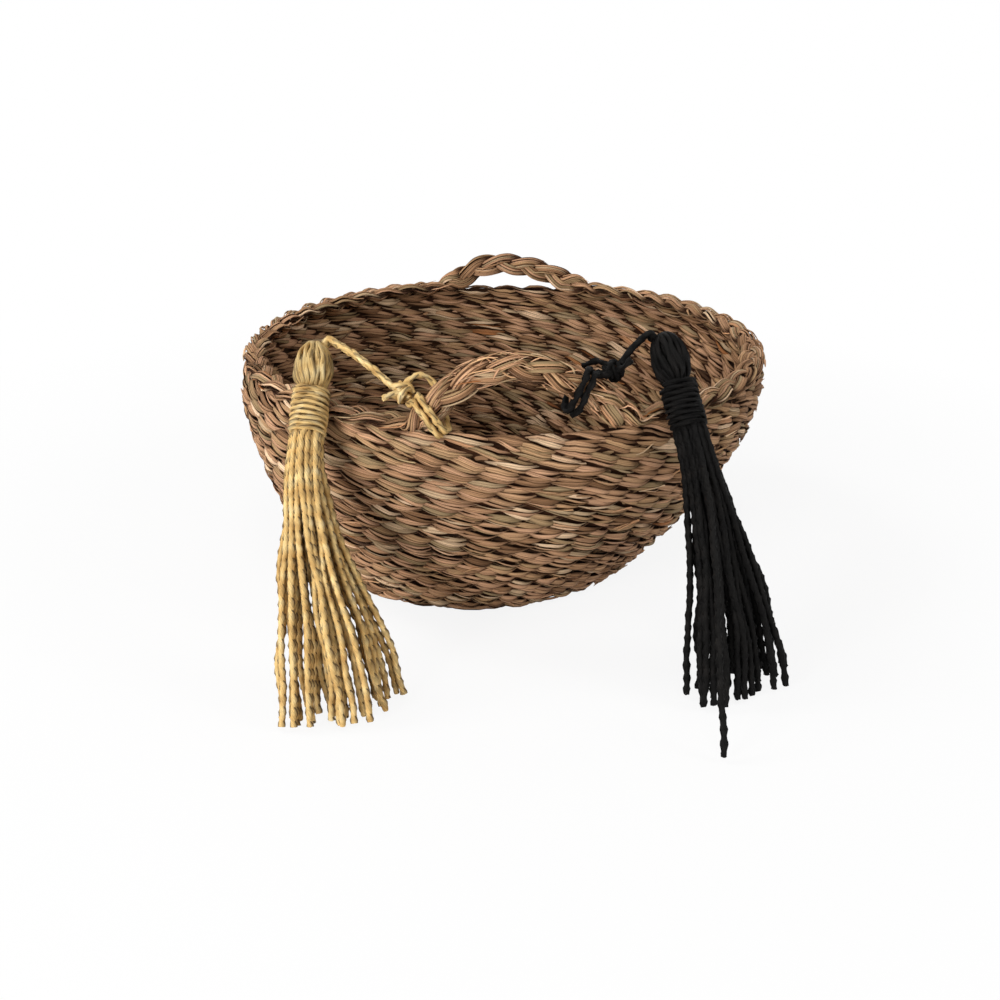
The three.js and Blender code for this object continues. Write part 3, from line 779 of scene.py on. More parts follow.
def crossing_lines():
    lines = []
    middle = (CROSSING_STRIPS - 1) / 2
    for way in (0, 1):
        for strip in range(CROSSING_STRIPS):
            side = (strip - middle) * CROSSING_PITCH
            line = []
            for step in range(-CROSSING_STEPS * CROSSING_STRIPS, CROSSING_STEPS * CROSSING_STRIPS + 1):
                reach = step * CROSSING_PITCH / CROSSING_STEPS
                wave = math.cos(math.pi * (reach / CROSSING_PITCH + strip + way + middle))
                height = CROSSING_HEIGHT + CROSSING_LIFT * wave
                line.append((side, reach, height) if way else (reach, side, height))
            lines.append(line)
    return lines


def stored(mesh, name, values, kind="FLOAT", field="value"):
    """A named value on every point of a mesh."""
    mesh.attributes.new(name, kind, "POINT").data.foreach_set(field, values)


def strip_solid(name, lines):
    """Flat strips with rounded edges along the given lines."""
    points, faces = [], []
    count = len(STRIP_SECTION)
    for line in lines:
        start = len(points)
        ahead = (Vector(line[-1]) - Vector(line[0])).normalized()
        aside = ahead.cross(UP)
        for point in line:
            for u, v in STRIP_SECTION:
                points.append(Vector(point) + aside * (u * STRIP_WIDTH) + UP * (v * STRIP_THICKNESS))
        for ring in range(len(line) - 1):
            for i in range(count):
                a, b = start + ring * count + i, start + ring * count + (i + 1) % count
                faces.append((a, b, b + count, a + count))
        faces.append([start + i for i in range(count)][::-1])
        faces.append([start + (len(line) - 1) * count + i for i in range(count)])
    mesh = bpy.data.meshes.new(name)
    mesh.from_pydata(points, [], faces)
    per_line = len(points) // len(lines)
    stored(mesh, "tint", [0.2 + 0.6 * ((i // per_line) * 0.37 % 1) for i in range(len(points))])
    return mesh


crossing = strip_solid("base_crossing", crossing_lines())
crossing.materials.append(stake_finish)
crossing.shade_smooth()
placed("base_crossing", crossing, "basket")
print("crossing of", 2 * CROSSING_STRIPS, "strips")

# %% [markdown]
# The rim is a plait of three bunches of blades. It lies flat on the wall, and twice it lifts off,
# turns on its edge and comes down again, which makes the handles. So rim and handles are one plait on
# one closed path. The path also says which way the plait's broad side faces at each point.

# %% Path of the plait
RIM_RADIUS = 146 * MM
PLAIT_HALF_WIDTH = 6.5 * MM
PLAIT_HALF_HEIGHT = 3.5 * MM
HANDLE_HALF_WIDTH = 7 * MM
HANDLE_HALF_THICKNESS = 4.75 * MM
HANDLE_ROUNDNESS = 1.2
EDGE_TURN = 0.45
PATH_START = -100
HANDLES = [
    {"from": -19, "top": 1, "to": 27, "lift": 36 * MM},
    {"from": 156, "top": 181, "to": 197, "lift": 18 * MM},
]
rim_middle = Vector((LEAN, 0, 0))


def outward(degrees):
    return Vector((math.sin(math.radians(degrees)), -math.cos(math.radians(degrees)), 0))


def along(degrees):
    return Vector((math.cos(math.radians(degrees)), math.sin(math.radians(degrees)), 0))


def lift_at(degrees):
    for handle in HANDLES:
        half = handle["top"] - handle["from"] if degrees < handle["top"] else handle["to"] - handle["top"]
        share = (degrees - handle["top"]) / half
        if abs(share) < 1:
            return handle["lift"] * (1 - share * share) ** HANDLE_ROUNDNESS
    return 0.0


def plait_at(degrees):
    lift = lift_at(degrees)
    half_height = min(HANDLE_HALF_WIDTH, PLAIT_HALF_HEIGHT + EDGE_TURN * lift)
    turned = (half_height - PLAIT_HALF_HEIGHT) / (HANDLE_HALF_WIDTH - PLAIT_HALF_HEIGHT)
    middle = rim_middle + outward(degrees) * RIM_RADIUS + UP * (HEIGHT + lift - half_height)
    half_wide = PLAIT_HALF_WIDTH + (HANDLE_HALF_WIDTH - PLAIT_HALF_WIDTH) * turned
    half_thin = PLAIT_HALF_HEIGHT + (HANDLE_HALF_THICKNESS - PLAIT_HALF_HEIGHT) * turned
    return middle, turned, half_wide, half_thin


def plait_frame(degrees):
    middle, turned, half_wide, half_thin = plait_at(degrees)
    tangent = (plait_at(degrees + 0.05)[0] - plait_at(degrees - 0.05)[0]).normalized()
    across = outward(degrees)
    upright = across.cross(tangent).normalized()
    broad = across * math.cos(turned * math.pi / 2) + upright * math.sin(turned * math.pi / 2)
    return middle, tangent, across, upright, broad, half_wide, half_thin


def plait_path(step=0.5):
    count = round(360 / step)
    frames = [plait_frame(PATH_START + i * step) for i in range(count)]
    mesh = bpy.data.meshes.new("plait path")
    mesh.from_pydata([tuple(f[0]) for f in frames], [(i, (i + 1) % count) for i in range(count)], [])
    broad = [value for f in frames for value in f[4]]
    halves = [value for f in frames for value in (f[5], f[6], 0.0)]
    stored(mesh, "broad", broad, "FLOAT_VECTOR", "vector")
    stored(mesh, "halves", halves, "FLOAT_VECTOR", "vector")
    return mesh


plait_guide = plait_path()
print("plait path of", len(plait_guide.vertices), "points")

# %% [markdown]
# In a plait of three, each bunch weaves from side to side, and goes over and under twice as often.
# The tree bends the blades of three bunches along the path by that rule, with the blade's section
# from the weave. A bunch keeps its tints from one time that it goes under to the next, and is painted
# darker, as shade, where it goes under. A sheet in the middle stands for the fibres inside the plait,
# and is painted in dark shade all over.

# %% The plait tree
PLAIT_BLADES = 6


def sampled_on(tree, curve, share, value):
    """A stored value, the position and the direction at a share of a curve's length."""
    sampled = tree.nodes.new("GeometryNodeSampleCurve")
    sampled.mode, sampled.data_type = "FACTOR", "FLOAT_VECTOR"
    plug(curve, sampled.inputs["Curves"])
    plug(share, sampled.inputs["Factor"])
    plug(value, next(socket for socket in sampled.inputs if socket.name == "Value" and socket.enabled))
    named = {socket.name: Wire(socket) for socket in sampled.outputs if socket.enabled}
    return named["Value"], named["Position"], named["Tangent"]


def plait_tree():
    tree, given = new_tree(
        "Plait of three", Turns="Float", Steps="Int", Fullness="Float", Blade="Float", Material="Material"
    )
    strips = 2 * PLAIT_BLADES
    sheets, row, share, side = blade_sheets(tree, given, 3 * strips + 1)
    blade, bunch = row % strips, whole(row / strips)
    path = node(tree, "GeometryNodeMeshToCurve", given["Guide"])
    path_length = node(tree, "GeometryNodeCurveLength", path)
    broad, middle, tangent = sampled_on(tree, path, share, known(tree, "broad", "FLOAT_VECTOR"))
    halves, _, _ = sampled_on(tree, path, share, known(tree, "halves", "FLOAT_VECTOR"))
    half_wide, half_thin, _ = parts(halves)
    thin_way = vectors("CROSS_PRODUCT", tangent, broad)

    # Deep is 1 on the dark sheet, and lower is 1 on the blades of the plait's lower face
    sway = node(tree, "ShaderNodeTexNoise", middle, 45.0, 1.0) - 0.5
    phase = (share * given["Turns"] + bunch / 3) * math.tau + sway * 1.0
    deep = maths("GREATER_THAN", bunch, 2.5)
    lower = maths("GREATER_THAN", blade, PLAIT_BLADES - 0.5)
    facing = 1 - lower * 2
    key = bunch * 101 + (whole(phase / math.pi + 0.25 + lower * 0.5) % (given["Turns"] * 2)) * 2 + lower
    own = key * 11 + blade
    over = sine(phase * 2)
    seen = maths("MINIMUM", (1 + over * facing) * 1.5, 1.0)

    # The blade's own section, place in the bunch, width and tilt
    across, through = blade_section(side, chance(tree, -0.4, 0.4, own, 9))
    stray = chance(tree, -0.12, 0.12, own, 13) * seen
    place = (blade % PLAIT_BLADES) * (1.5 / (PLAIT_BLADES - 1)) - 0.75 + stray
    half_bunch = half_wide * 0.5 * given["Fullness"] * (1 + chance(tree, -0.06, 0.12, key, 11) * seen)
    half_blade = half_bunch * (0.18 + chance(tree, -0.06, 0.1, own, 17) * seen)
    thick = half_thin * given["Fullness"]
    tilt = place * -0.75 + chance(tree, -0.5, 0.5, own, 19) * seen
    dome = thick * 0.5 * (1 - place * place * 0.9) + chance(tree, -0.6, 0.9, own, 23) * seen * MM

    # The bunch swings sideways and turns with its own slope, so its blades stay side by side
    swing = half_wide - half_bunch * 0.8
    slope = cosine(phase) * swing * given["Turns"] * math.tau / path_length
    turn = maths("ARCTANGENT", slope) + chance(tree, -0.08, 0.08, own, 29) * seen
    ripple = node(tree, "ShaderNodeTexNoise", middle, 260.0, 2.0) - 0.5
    crosswise = half_bunch * place + across * half_blade * cosine(tilt)
    sideways = (swing * sine(phase) + crosswise * cosine(turn)) * (1 - deep)
    sideways = sideways + across * half_wide * 0.8 * deep
    onwards = crosswise * sine(turn) * (deep - 1)
    upwards = (thick * 0.5 * over + (dome + across * half_blade * sine(tilt)) * facing) * (1 - deep)
    upwards = upwards + through * (given["Blade"] * 0.5 + deep * (1.3 * MM)) + ripple * (1.4 * MM)
    put = middle
    for way, amount in ((broad, sideways), (thin_way, upwards), (tangent, onwards)):
        put = vectors("ADD", put, scaled(way, amount))

    tint, tone = chance(tree, 0.0, 1.0, key, 43), chance(tree, 0.0, 1.0, own, 53)
    # Painted shade: darker where a blade goes under, a little where its face turns away, and full on the
    # middle sheet
    shade_where_hidden = (1 - seen) * 0.6 + (1 - maths("MAXIMUM", over * facing, 0.0)) * 0.12 + deep
    marked = marks(tree, sheets, side, tint=tint, blade=tone, crease=shade_where_hidden, across=across)
    bent = node(tree, "GeometryNodeSetPosition", marked, True, put)
    closed = node(tree, "GeometryNodeMergeByDistance", bent, True, MERGE_DISTANCE)
    finished(tree, sharpened(tree, closed), given["Material"])
    return tree


PLAIT = plait_tree()
PALER = shaded(SEAGRASS, 1.2)
plait_finish = fibre_material("plaited seagrass", PALER, 0.65, 26, 70, (0.78, 0.5), 0.5, contrast=1.4)
grown(
    "rim_and_handles", plait_guide, PLAIT, "seagrass_plait", "basket",
    ["rim_plait_left", "rim_plait_right", "front_handle", "back_handle"],
    Turns=17.0, Steps=641, Fullness=1.02, Blade=1.1 * MM, Material=plait_finish,
)

# %% [markdown]
# Dry blades split, so thin ends stick out all over a real basket. Each is a short line that leaves the
# weave at a low angle and curls away from it. The lines differ by a fixed seed, and a tree gives every
# line the flat section of a blade that grows thinner towards its tip. Lengths on the wall are in
# millimetres, and so are its mean radius and the depth of its face.

# %% Loose blade ends
LOOSE_ON_WALL = 260
LOOSE_ON_PLAIT = 190
WALL_MEAN_RADIUS = 140
FACE_DEPTH = 3.4


def on_bowl(degrees, share, out):
    """The place at a share of the wall's height, so far out from the middle of its thickness."""
    step = WALL_FIRST + min(max(share, 0), 1) * (len(outline) - WALL_FIRST - 2)
    i = int(step)
    point = outline[i].lerp(outline[i + 1], step - i)
    ahead = (outline[i + 1] - outline[i]).normalized()
    place = outward(degrees) * (point.x + ahead.z * out) + UP * (point.z - ahead.x * out)
    return place + Vector((lean_at(place.z), 0, 0))


def loose_on_wall(shuffle):
    """One end that leaves the weave's face and curls off it. Two of three are on the outside."""
    degrees = shuffle.uniform(-180, 180)
    share = shuffle.uniform(0.04, 0.96)
    long = shuffle.uniform(6, 17)
    face = shuffle.choice((1, 1, -1))
    way = shuffle.choice((-1, 1))
    climb = shuffle.uniform(-0.03, 0.04)
    curl = shuffle.uniform(0.2, 1.5)
    turn = math.degrees(long / WALL_MEAN_RADIUS) * way
    return [
        on_bowl(degrees + turn * t, share + climb * t * t, face * (FACE_DEPTH + curl * t * t) * MM)
        for t in (0, 0.2, 0.4, 0.6, 0.8, 1)
    ]


def loose_on_plait(shuffle):
    """One end that runs along the plait and winds round it. Half of them are on the front handle."""
    degrees = shuffle.choice((shuffle.uniform(-163, 197), shuffle.uniform(-17, 25)))
    reach = math.degrees(shuffle.uniform(7, 22) * MM / RIM_RADIUS) * shuffle.choice((-1, 1))
    turn = shuffle.uniform(0, math.tau)
    twist = shuffle.uniform(-1.2, 1.2)
    curl = shuffle.uniform(0.0, 0.3)
    line = []
    for step in range(8):
        t = step / 7
        middle, tangent, _, _, broad, half_wide, half_thin = plait_frame(degrees + reach * t)
        angle = turn + twist * t
        off = broad * (half_wide * math.cos(angle)) + tangent.cross(broad) * (half_thin * math.sin(angle))
        line.append(middle + off * (0.45 + 0.55 * min(3 * t, 1) + curl * t * t))
    return line


def loose_tree():
    tree, given = new_tree("Loose blade ends", Width="Float", Thickness="Float", Material="Material")
    lines = node(tree, "GeometryNodeMeshToCurve", given["Guide"])
    share = Wire(tree.nodes.new("GeometryNodeSplineParameter").outputs["Factor"])
    taper = 1.1 - share ** 3.0 * 0.85
    strips = node(tree, "GeometryNodeCurveToMesh", lines, flat_section(tree, given, 6), taper, True)
    finished(tree, node(tree, "GeometryNodeSetShadeSmooth", strips), given["Material"])
    return tree


def loose_mesh(name, rule, count):
    shuffle = random.Random(name)
    lines = [rule(shuffle) for _ in range(count)]
    mesh = line_mesh(name, lines)
    for label in ("tint", "blade"):
        values = []
        for line in lines:
            values += [shuffle.random()] * len(line)
        stored(mesh, label, values)
    return mesh


LOOSE = loose_tree()
LOOSE_SIZE = dict(Width=1.5 * MM, Thickness=0.5 * MM)
grown(
    "loose_ends_on_wall", loose_mesh("wall ends", loose_on_wall, LOOSE_ON_WALL), LOOSE,
    "seagrass_weave", "basket", Material=weave_finish, **LOOSE_SIZE,
)
grown(
    "loose_ends_on_plait", loose_mesh("plait ends", loose_on_plait, LOOSE_ON_PLAIT), LOOSE,
    "seagrass_plait", "basket", Material=plait_finish, **LOOSE_SIZE,
)

# %% [markdown]
# The tassels are made of twisted cord. The cord tree takes any number of lines, gives each one several
# plies that wind round each other, and makes each ply a slightly crumpled tube, as twisted raffia is.
# The lay is the length of one full turn of the plies, and the spread is how far a ply's middle lies
# from the cord's, as a share of its diameter.

# %% The cord tree
def cord_tree():
    tree, given = new_tree(
        "Twisted cord",
        Diameter="Float",
        Plies="Int",
        Lay="Float",
        Step="Float",
        Crumple="Float",
        Spread="Float",
        Sides="Int",
        Material="Material",
    )
    lines = node(tree, "GeometryNodeMeshToCurve", given["Guide"])
    resampled = node(tree, "GeometryNodeResampleCurve", lines, True, given["Step"], mode="LENGTH")
    reach = Wire(tree.nodes.new("GeometryNodeSplineParameter").outputs["Length"])
    copied = tree.nodes.new("GeometryNodeDuplicateElements")
    copied.domain = "SPLINE"
    plug(kept(tree, resampled, "reach", reach), copied.inputs["Geometry"])
    plug(given["Plies"], copied.inputs["Amount"])
    ply = Wire(copied.outputs["Duplicate Index"])
    place = node(tree, "GeometryNodeInputPosition")
    normal = node(tree, "GeometryNodeInputNormal")
    second = vectors("CROSS_PRODUCT", node(tree, "GeometryNodeInputTangent"), normal)

    wander = node(tree, "ShaderNodeTexNoise", place, 90.0, 1.0) - 0.5
    angle = (known(tree, "reach") / given["Lay"] + ply / given["Plies"]) * math.tau + wander * 2.0
    orbit = given["Diameter"] * given["Spread"]
    offset = vectors("ADD", scaled(normal, cosine(angle) * orbit), scaled(second, sine(angle) * orbit))
    wound = node(tree, "GeometryNodeSetPosition", Wire(copied.outputs["Geometry"]), True, None, offset)
    spun = node(tree, "GeometryNodeSetCurveTilt", wound, True, angle * -1)

    # A ply's section is a little flat, and every second point lies deeper, which makes the crumples
    index = node(tree, "GeometryNodeInputIndex")
    numbered = kept(tree, circle(tree, given["Sides"]), "across", size(index / given["Sides"] * 2 - 1))
    lobe = 1 - (index % 2) * given["Crumple"]
    flat = vectors("MULTIPLY", scaled(place, lobe), (1.12, 0.88, 1.0))
    section = node(tree, "GeometryNodeSetPosition", numbered, True, flat)
    pinch = node(tree, "ShaderNodeTexNoise", place, 420.0, 2.0)
    thick = given["Diameter"] * (0.53 - given["Spread"]) * (0.75 + pinch * 0.5)
    tubes = node(tree, "GeometryNodeCurveToMesh", spun, section, thick, True)

    across = known(tree, "across")
    tubes = kept(tree, tubes, "tint", node(tree, "ShaderNodeTexNoise", place, 140.0, 2.0))
    # Painted shade in the crumples: every second point of the section, which lies deeper, is darkened
    tubes = kept(tree, tubes, "crease", (across * given["Sides"] / 2 % 2) * 0.12)
    tubes = kept(tree, tubes, "blade", across)
    finished(tree, node(tree, "GeometryNodeSetShadeSmooth", tubes), given["Material"])
    return tree


CORDS = cord_tree()
RAFFIA = [
    (0.25, paint(182, 141, 80)),
    (0.4, paint(218, 180, 114)),
    (0.5, paint(234, 200, 134)),
    (0.62, paint(244, 216, 156)),
    (0.75, paint(252, 236, 190)),
]
BLACK = [(0.3, paint(7, 6, 6)), (0.5, paint(14, 13, 12)), (0.7, paint(28, 26, 25))]
yellow_finish = fibre_material("yellow raffia cord", RAFFIA, 0.15, 9, 25, (0.8, 0.55), 0.45, 0.3, 0.6)
# Painted shade: the yellow head's colours are the skirt's, darkened to 0.72
RAFFIA_IN_SHADE = shaded(RAFFIA, 0.72)
yellow_head_in_shade = fibre_material("folded yellow raffia", RAFFIA_IN_SHADE, 0.15, 9, 25, (0.8, 0.6), 0.45, 0.3)
black_finish = fibre_material("black cord", BLACK, 0.15, 9, 25, (0.75, 0.5), 0.5, 0.1)
print("cord tree with", len(CORDS.nodes), "nodes")

# %% [markdown]
# The tassels' sizes repeat those of the plain model, so each cord lies where its solid is. A tassel has
# an axis that leans in over the rim; the wrap is wound round it, the head is above and the skirt below.
# Azimuths go round the bowl in degrees, from 0 at the front to plus on the right. Lean and roll say how
# the axis tips inwards and aside, and slide how far the tassel hangs down over the rim. The tips have
# the skirt's azimuth, how far out it ends, and how its strands spread sideways and in depth; long is
# how much further the foremost strand reaches. The knot has its azimuth, its way out and its height
# over the rim, and the foot is where the loop goes round the handle. Distances are in millimetres.

# %% Where each tassel is
CORD = 3.6 * MM
CORD_SPACING = 4.2 * MM
STRAND = 3.6 * MM
STRAND_SPACING = 3.75 * MM
NECK_RADIUS = 7 * MM
WRAP_CORD = 2.2 * MM
WRAP_PITCH = 2.65 * MM
WRAP_TURNS = 8.5
WRAP_RADIUS = NECK_RADIUS + 0.45 * MM + WRAP_CORD / 2
WRAP_LENGTH = WRAP_PITCH * WRAP_TURNS + WRAP_CORD
HEAD_LENGTH = 23.5 * MM
HEAD_CAP_RADIUS = 5.5 * MM
HEAD_RADIUS = 10.2 * MM
SKIRT_FLARE = 3 * MM
STRAND_DROP = 45 * MM
STRAND_LANDING = 38 * MM
STRAND_TUCK = 0.12
TIP_HEIGHT = 2.8 * MM
KNOT_RADIUS = 5.2 * MM
GAP = 0.3 * MM
TASSELS = {
    "yellow": {
        "finish": yellow_finish, "azimuth": -38, "lean": 35, "roll": 21, "slide": 7.5,
        "tips": (-21.6, 71.6, (28, 12), (4, -13)), "long": (0, 0),
        "knot": (-20.98, -3.6, 11), "foot": -14.3,
    },
    "black": {
        "finish": black_finish, "azimuth": 34, "lean": 35, "roll": -5, "slide": 1,
        "tips": (33.91, 70.9, (26, 18), (4, -12)), "long": (-21, -49),
        "knot": (23.04, -8, 20), "foot": 14.5,
    },
}


def beyond_rim(degrees, out, height=0.0):
    return rim_middle + outward(degrees) * (RIM_RADIUS + out * MM) + UP * height


class Tassel:
    def __init__(self, name, azimuth, lean, roll, slide, tips, long, knot, foot, finish):
        self.name, self.tips, self.long, self.foot, self.finish = name, tips, long, foot, finish
        lean, roll = math.radians(lean), math.radians(roll)
        out = outward(azimuth)
        off = out * math.cos(lean) + UP * math.sin(lean)
        straight = UP * math.cos(lean) - out * math.sin(lean)
        self.axis = straight * math.cos(roll) - along(azimuth) * math.sin(roll)
        rim = plait_at(azimuth)[0]
        reach = math.hypot(PLAIT_HALF_WIDTH * math.cos(lean), PLAIT_HALF_HEIGHT * math.sin(lean))
        self.wrap_middle = rim + off * (reach + WRAP_RADIUS + WRAP_CORD / 2 + GAP) - self.axis * (slide * MM)
        wide = Vector((tips[2][0], tips[2][1], 0))
        self.side = (wide - self.axis * wide.dot(self.axis)).normalized()
        self.front = self.side.cross(self.axis).normalized()
        self.knot = beyond_rim(knot[0], knot[1], HEIGHT + knot[2] * MM)

    def at(self, distance, across=0.0, deep=0.0):
        return self.wrap_middle + self.axis * distance + self.side * across + self.front * deep


tassels = [Tassel(name, **facts) for name, facts in TASSELS.items()]
print("tassels at", [tuple(round(v / MM) for v in tassel.wrap_middle) for tassel in tassels])

# %% [markdown]
# A smooth line through a few places is all that a cord needs. This is the same kind of curve as in the
# plain model, so the cords agree with their solids to a fraction of a millimetre.

# %% Smooth lines
def smooth_line(places, per_span=6):
    ends = [2 * places[0] - places[1], *places, 2 * places[-1] - places[-2]]
    line = []
    for a, b, c, d in zip(ends, ends[1:], ends[2:], ends[3:]):
        ta, tb, tc = (max((q - p).length, 1e-9) ** 0.5 for p, q in ((a, b), (b, c), (c, d)))
        leave = ((b - a) / ta - (c - a) / (ta + tb) + (c - b) / tb) * tb
        arrive = ((c - b) / tb - (d - b) / (tb + tc) + (d - c) / tc) * tb
        for step in range(per_span):
            t = step / per_span
            line.append(
                b * (2 * t**3 - 3 * t**2 + 1) + leave * (t**3 - 2 * t**2 + t)
                + c * (3 * t**2 - 2 * t**3) + arrive * (t**3 - t**2)
            )
    return [*line, places[-1]]


def doubled(stations):
    """Both runs of a cord folded in half, from (place, facing) pairs down their middle."""
    outgoing, returning = [], []
    for i, (place, facing) in enumerate(stations):
        ahead = (stations[min(i + 1, len(stations) - 1)][0] - stations[max(i - 1, 0)][0]).normalized()
        apart = ahead.cross(facing).normalized() * (CORD_SPACING / 2)
        outgoing.append(place + apart)
        returning.insert(0, place - apart)
    last, half = stations[-1][0], CORD_SPACING / 2
    bend = []
    for i in (1, 2, 3):
        turn = math.pi * i / 4
        bend.append(last + apart * math.cos(turn) + ahead * (half * math.sin(turn)))
    return smooth_line([*outgoing, *bend, *returning])


print("a doubled cord is", round((CORD + CORD_SPACING) / MM, 1), "mm wide")

# %% [markdown]
# Each tie is a doubled cord in two parts: a loop tucked round the foot of the front handle, and the
# run from the knot to the head. Both are grown as cords, and the length of each is printed. The
# loop starts on top of the foot, 112 degrees round from its outside, and goes down the outside, under
# it and up the inside in steps of 27 degrees. Underneath, it hangs a little below the plait.

# %% The ties
LOOP_TOP = 112
LOOP_LEAD = 6 * MM
LOOP_STEP = 27
LOOP_STATIONS = 11
LOOP_HANG = 5.5 * MM
TIE_TILT = math.radians(38)
TIE_ARCH = 1.6 * MM
TWIST = dict(Plies=2, Lay=15 * MM, Step=1.1 * MM, Crumple=0.24, Spread=0.15, Sides=8)


def tie_loop(tassel):
    middle, tangent, across, upright, *_ = plait_frame(tassel.foot)
    half_height = HEIGHT + lift_at(tassel.foot) - middle.z
    turned = (half_height - PLAIT_HALF_HEIGHT) / (HANDLE_HALF_WIDTH - PLAIT_HALF_HEIGHT)
    half_across = PLAIT_HALF_WIDTH + (HANDLE_HALF_THICKNESS - PLAIT_HALF_WIDTH) * turned
    toward_knot = math.copysign(1, (tassel.knot - middle).dot(tangent))

    def around(degrees, shift):
        aside = across * math.cos(math.radians(degrees))
        above = upright * math.sin(math.radians(degrees))
        hang = UP * (LOOP_HANG * min(0.0, math.sin(math.radians(degrees))))
        place = middle + aside * (half_across + 2 * GAP + CORD / 2) + hang
        place = place + above * (half_height + 2 * GAP + CORD / 2)
        return place + tangent * (shift * toward_knot), (aside + above).normalized()

    top = around(LOOP_TOP, LOOP_LEAD)
    start = tassel.knot + (top[0] - tassel.knot).normalized() * (KNOT_RADIUS + GAP)
    stations = [(start, UP), (start.lerp(top[0], 0.5), UP), top, around(LOOP_TOP - LOOP_STEP, LOOP_LEAD / 4)]
    for step in range(2, LOOP_STATIONS + 1):
        stations.append(around(LOOP_TOP - step * LOOP_STEP, 0))
    return doubled(stations)


def tie_cord(tassel):
    cap = tassel.at(WRAP_LENGTH / 2 + HEAD_LENGTH - HEAD_CAP_RADIUS)
    aside = tassel.knot - cap
    aside = (aside - tassel.axis * aside.dot(tassel.axis)).normalized()
    leaving = tassel.axis * math.cos(TIE_TILT) + aside * math.sin(TIE_TILT)
    fold = cap + leaving * (HEAD_CAP_RADIUS + GAP + CORD / 2 + CORD_SPACING / 2)
    over = fold + leaving * TIE_ARCH
    away = (over - tassel.knot).normalized()
    crest = over + leaving * (TIE_ARCH / 2) - away * CORD
    start = tassel.knot + away * (KNOT_RADIUS + GAP)
    halfway = start.lerp(crest, 0.5) + UP * (1.5 * MM)
    facing = (tassel.axis - away * tassel.axis.dot(away)).normalized()
    return doubled([(start, facing), (halfway, facing), (crest, facing), (over, away), (fold, away)])


for tassel in tassels:
    ties = {"loop": (tie_loop(tassel), "basket"), "cord": (tie_cord(tassel), tassel.name + "_tie")}
    for kind, (line, body) in ties.items():
        name = tassel.name + "_tie_" + kind
        piece = grown(
            name + "_twisted", line_mesh(name, [line]), CORDS, tassel.name + "_cord", body, [name],
            Diameter=CORD, Material=tassel.finish, **TWIST,
        )
        length_of(line)
        print(name, round(length_of(line) / MM), "mm long")

# %% [markdown]
# The knot is two tight turns of cord round the ties, one strand crossing over them, and the two loose
# ends. The wrap is one unbroken winding of thinner cord round the neck. The knot's places and its
# pitch are in millimetres: the loose ends from its middle, and the crossing strand by its way along
# the tie, above it and aside of it.

# %% Knots and wraps
TAILS = {
    "yellow": [
        [(0, 0, 3), (2, 1, 5), (7, 4, 8), (12, 5.5, 7), (16, 5, 3)],
        [(0, -2, 1), (-2, -3, 1), (-6, -6, 1), (-9, -8, 0)],
    ],
    "black": [
        [(0, 1, 2), (-3, 3, 3), (-8, 6, 4), (-15, 7, 1)],
        [(0, -2, 1), (2, -3, 2), (5, -6, 5), (8, -8, 9)],
    ],
}
KNOT_CROSSING = [(-4.6, 2, 3), (-1.5, 4.6, 1.5), (1.5, 4.6, -1.5), (4.6, 2, -3)]
KNOT_TURNS = 2.2
KNOT_PITCH = 3.1


def knot_lines(tassel):
    head = tassel.at(WRAP_LENGTH / 2 + HEAD_LENGTH)
    run = (head - tassel.knot).normalized()
    aside = run.cross(UP).normalized()
    above = aside.cross(run).normalized()
    winding = []
    for step in range(31):
        turn = step / 30 * KNOT_TURNS
        angle = turn * math.tau
        radius = (3.7 + 0.5 * math.sin(angle * 0.5)) * MM
        off = (aside * math.cos(angle) + above * math.sin(angle)) * radius
        winding.append(tassel.knot + run * ((turn - KNOT_TURNS / 2) * KNOT_PITCH * MM) + off)
    crossing = smooth_line([
        tassel.knot + run * (onwards * MM) + above * (up * MM) + aside * (sideways * MM)
        for onwards, up, sideways in KNOT_CROSSING
    ])
    inside = [tassel.knot + run * (step * MM) for step in range(-5, 6)]
    tails = [
        smooth_line([tassel.knot + Vector(place) * MM for place in tail]) for tail in TAILS[tassel.name]
    ]
    return [winding, crossing, inside, *tails]


def wrap_line(tassel, steps=200):
    line = []
    for step in range(steps + 1):
        turns = step / steps * WRAP_TURNS
        angle = turns * math.tau
        across, deep = WRAP_RADIUS * math.cos(angle), WRAP_RADIUS * math.sin(angle)
        line.append(tassel.at(WRAP_PITCH * (turns - WRAP_TURNS / 2), across, deep))
    return line


for tassel in tassels:
    slot = tassel.name + "_cord"
    knot_name, wrap_name = tassel.name + "_tie_knot", tassel.name + "_tassel_wrap"
    knot = line_mesh(knot_name, knot_lines(tassel))
    grown(
        knot_name + "_twisted", knot, CORDS, slot, tassel.name + "_tie", [knot_name],
        Diameter=3.3 * MM, Material=tassel.finish, **TWIST,
    )
    wrap = line_mesh(wrap_name, [wrap_line(tassel)])
    grown(
        wrap_name + "_twisted", wrap, CORDS, slot, tassel.name + "_tassel", [wrap_name],
        Diameter=3.0 * MM, Plies=2, Lay=26 * MM, Step=1.0 * MM, Crumple=0.26, Spread=0.17, Sides=6,
        Material=tassel.finish,
    )

# %% [markdown]
# A tassel is a bunch of strands folded in half over the tie. The head shows the folds: each strand
# comes up from the neck, swells out, goes over the top and down the other side. The head's shape is a
# row of heights above the wrap and distances from the axis, as shares of the head's height and
# radius. A second, narrower ring of folds fills the middle. The yellow head has a finish of its own:
# the skirt's raffia colours darkened to 0.72, as painted shade for its folds.

# %% Heads
HEAD_RUNS = 9
INNER_RUNS = 6
INNER_RING = 0.68
HEAD_FINISH = {"yellow": yellow_head_in_shade, "black": black_finish}
HEAD_RISE = 2.4 * MM
HEAD_SHAPE = [
    (-0.42, 0.62), (-0.2, 0.62), (0.0, 0.63), (0.16, 0.86), (0.4, 1.0),
    (0.62, 0.97), (0.8, 0.84), (0.93, 0.58), (1.0, 0.3),
]


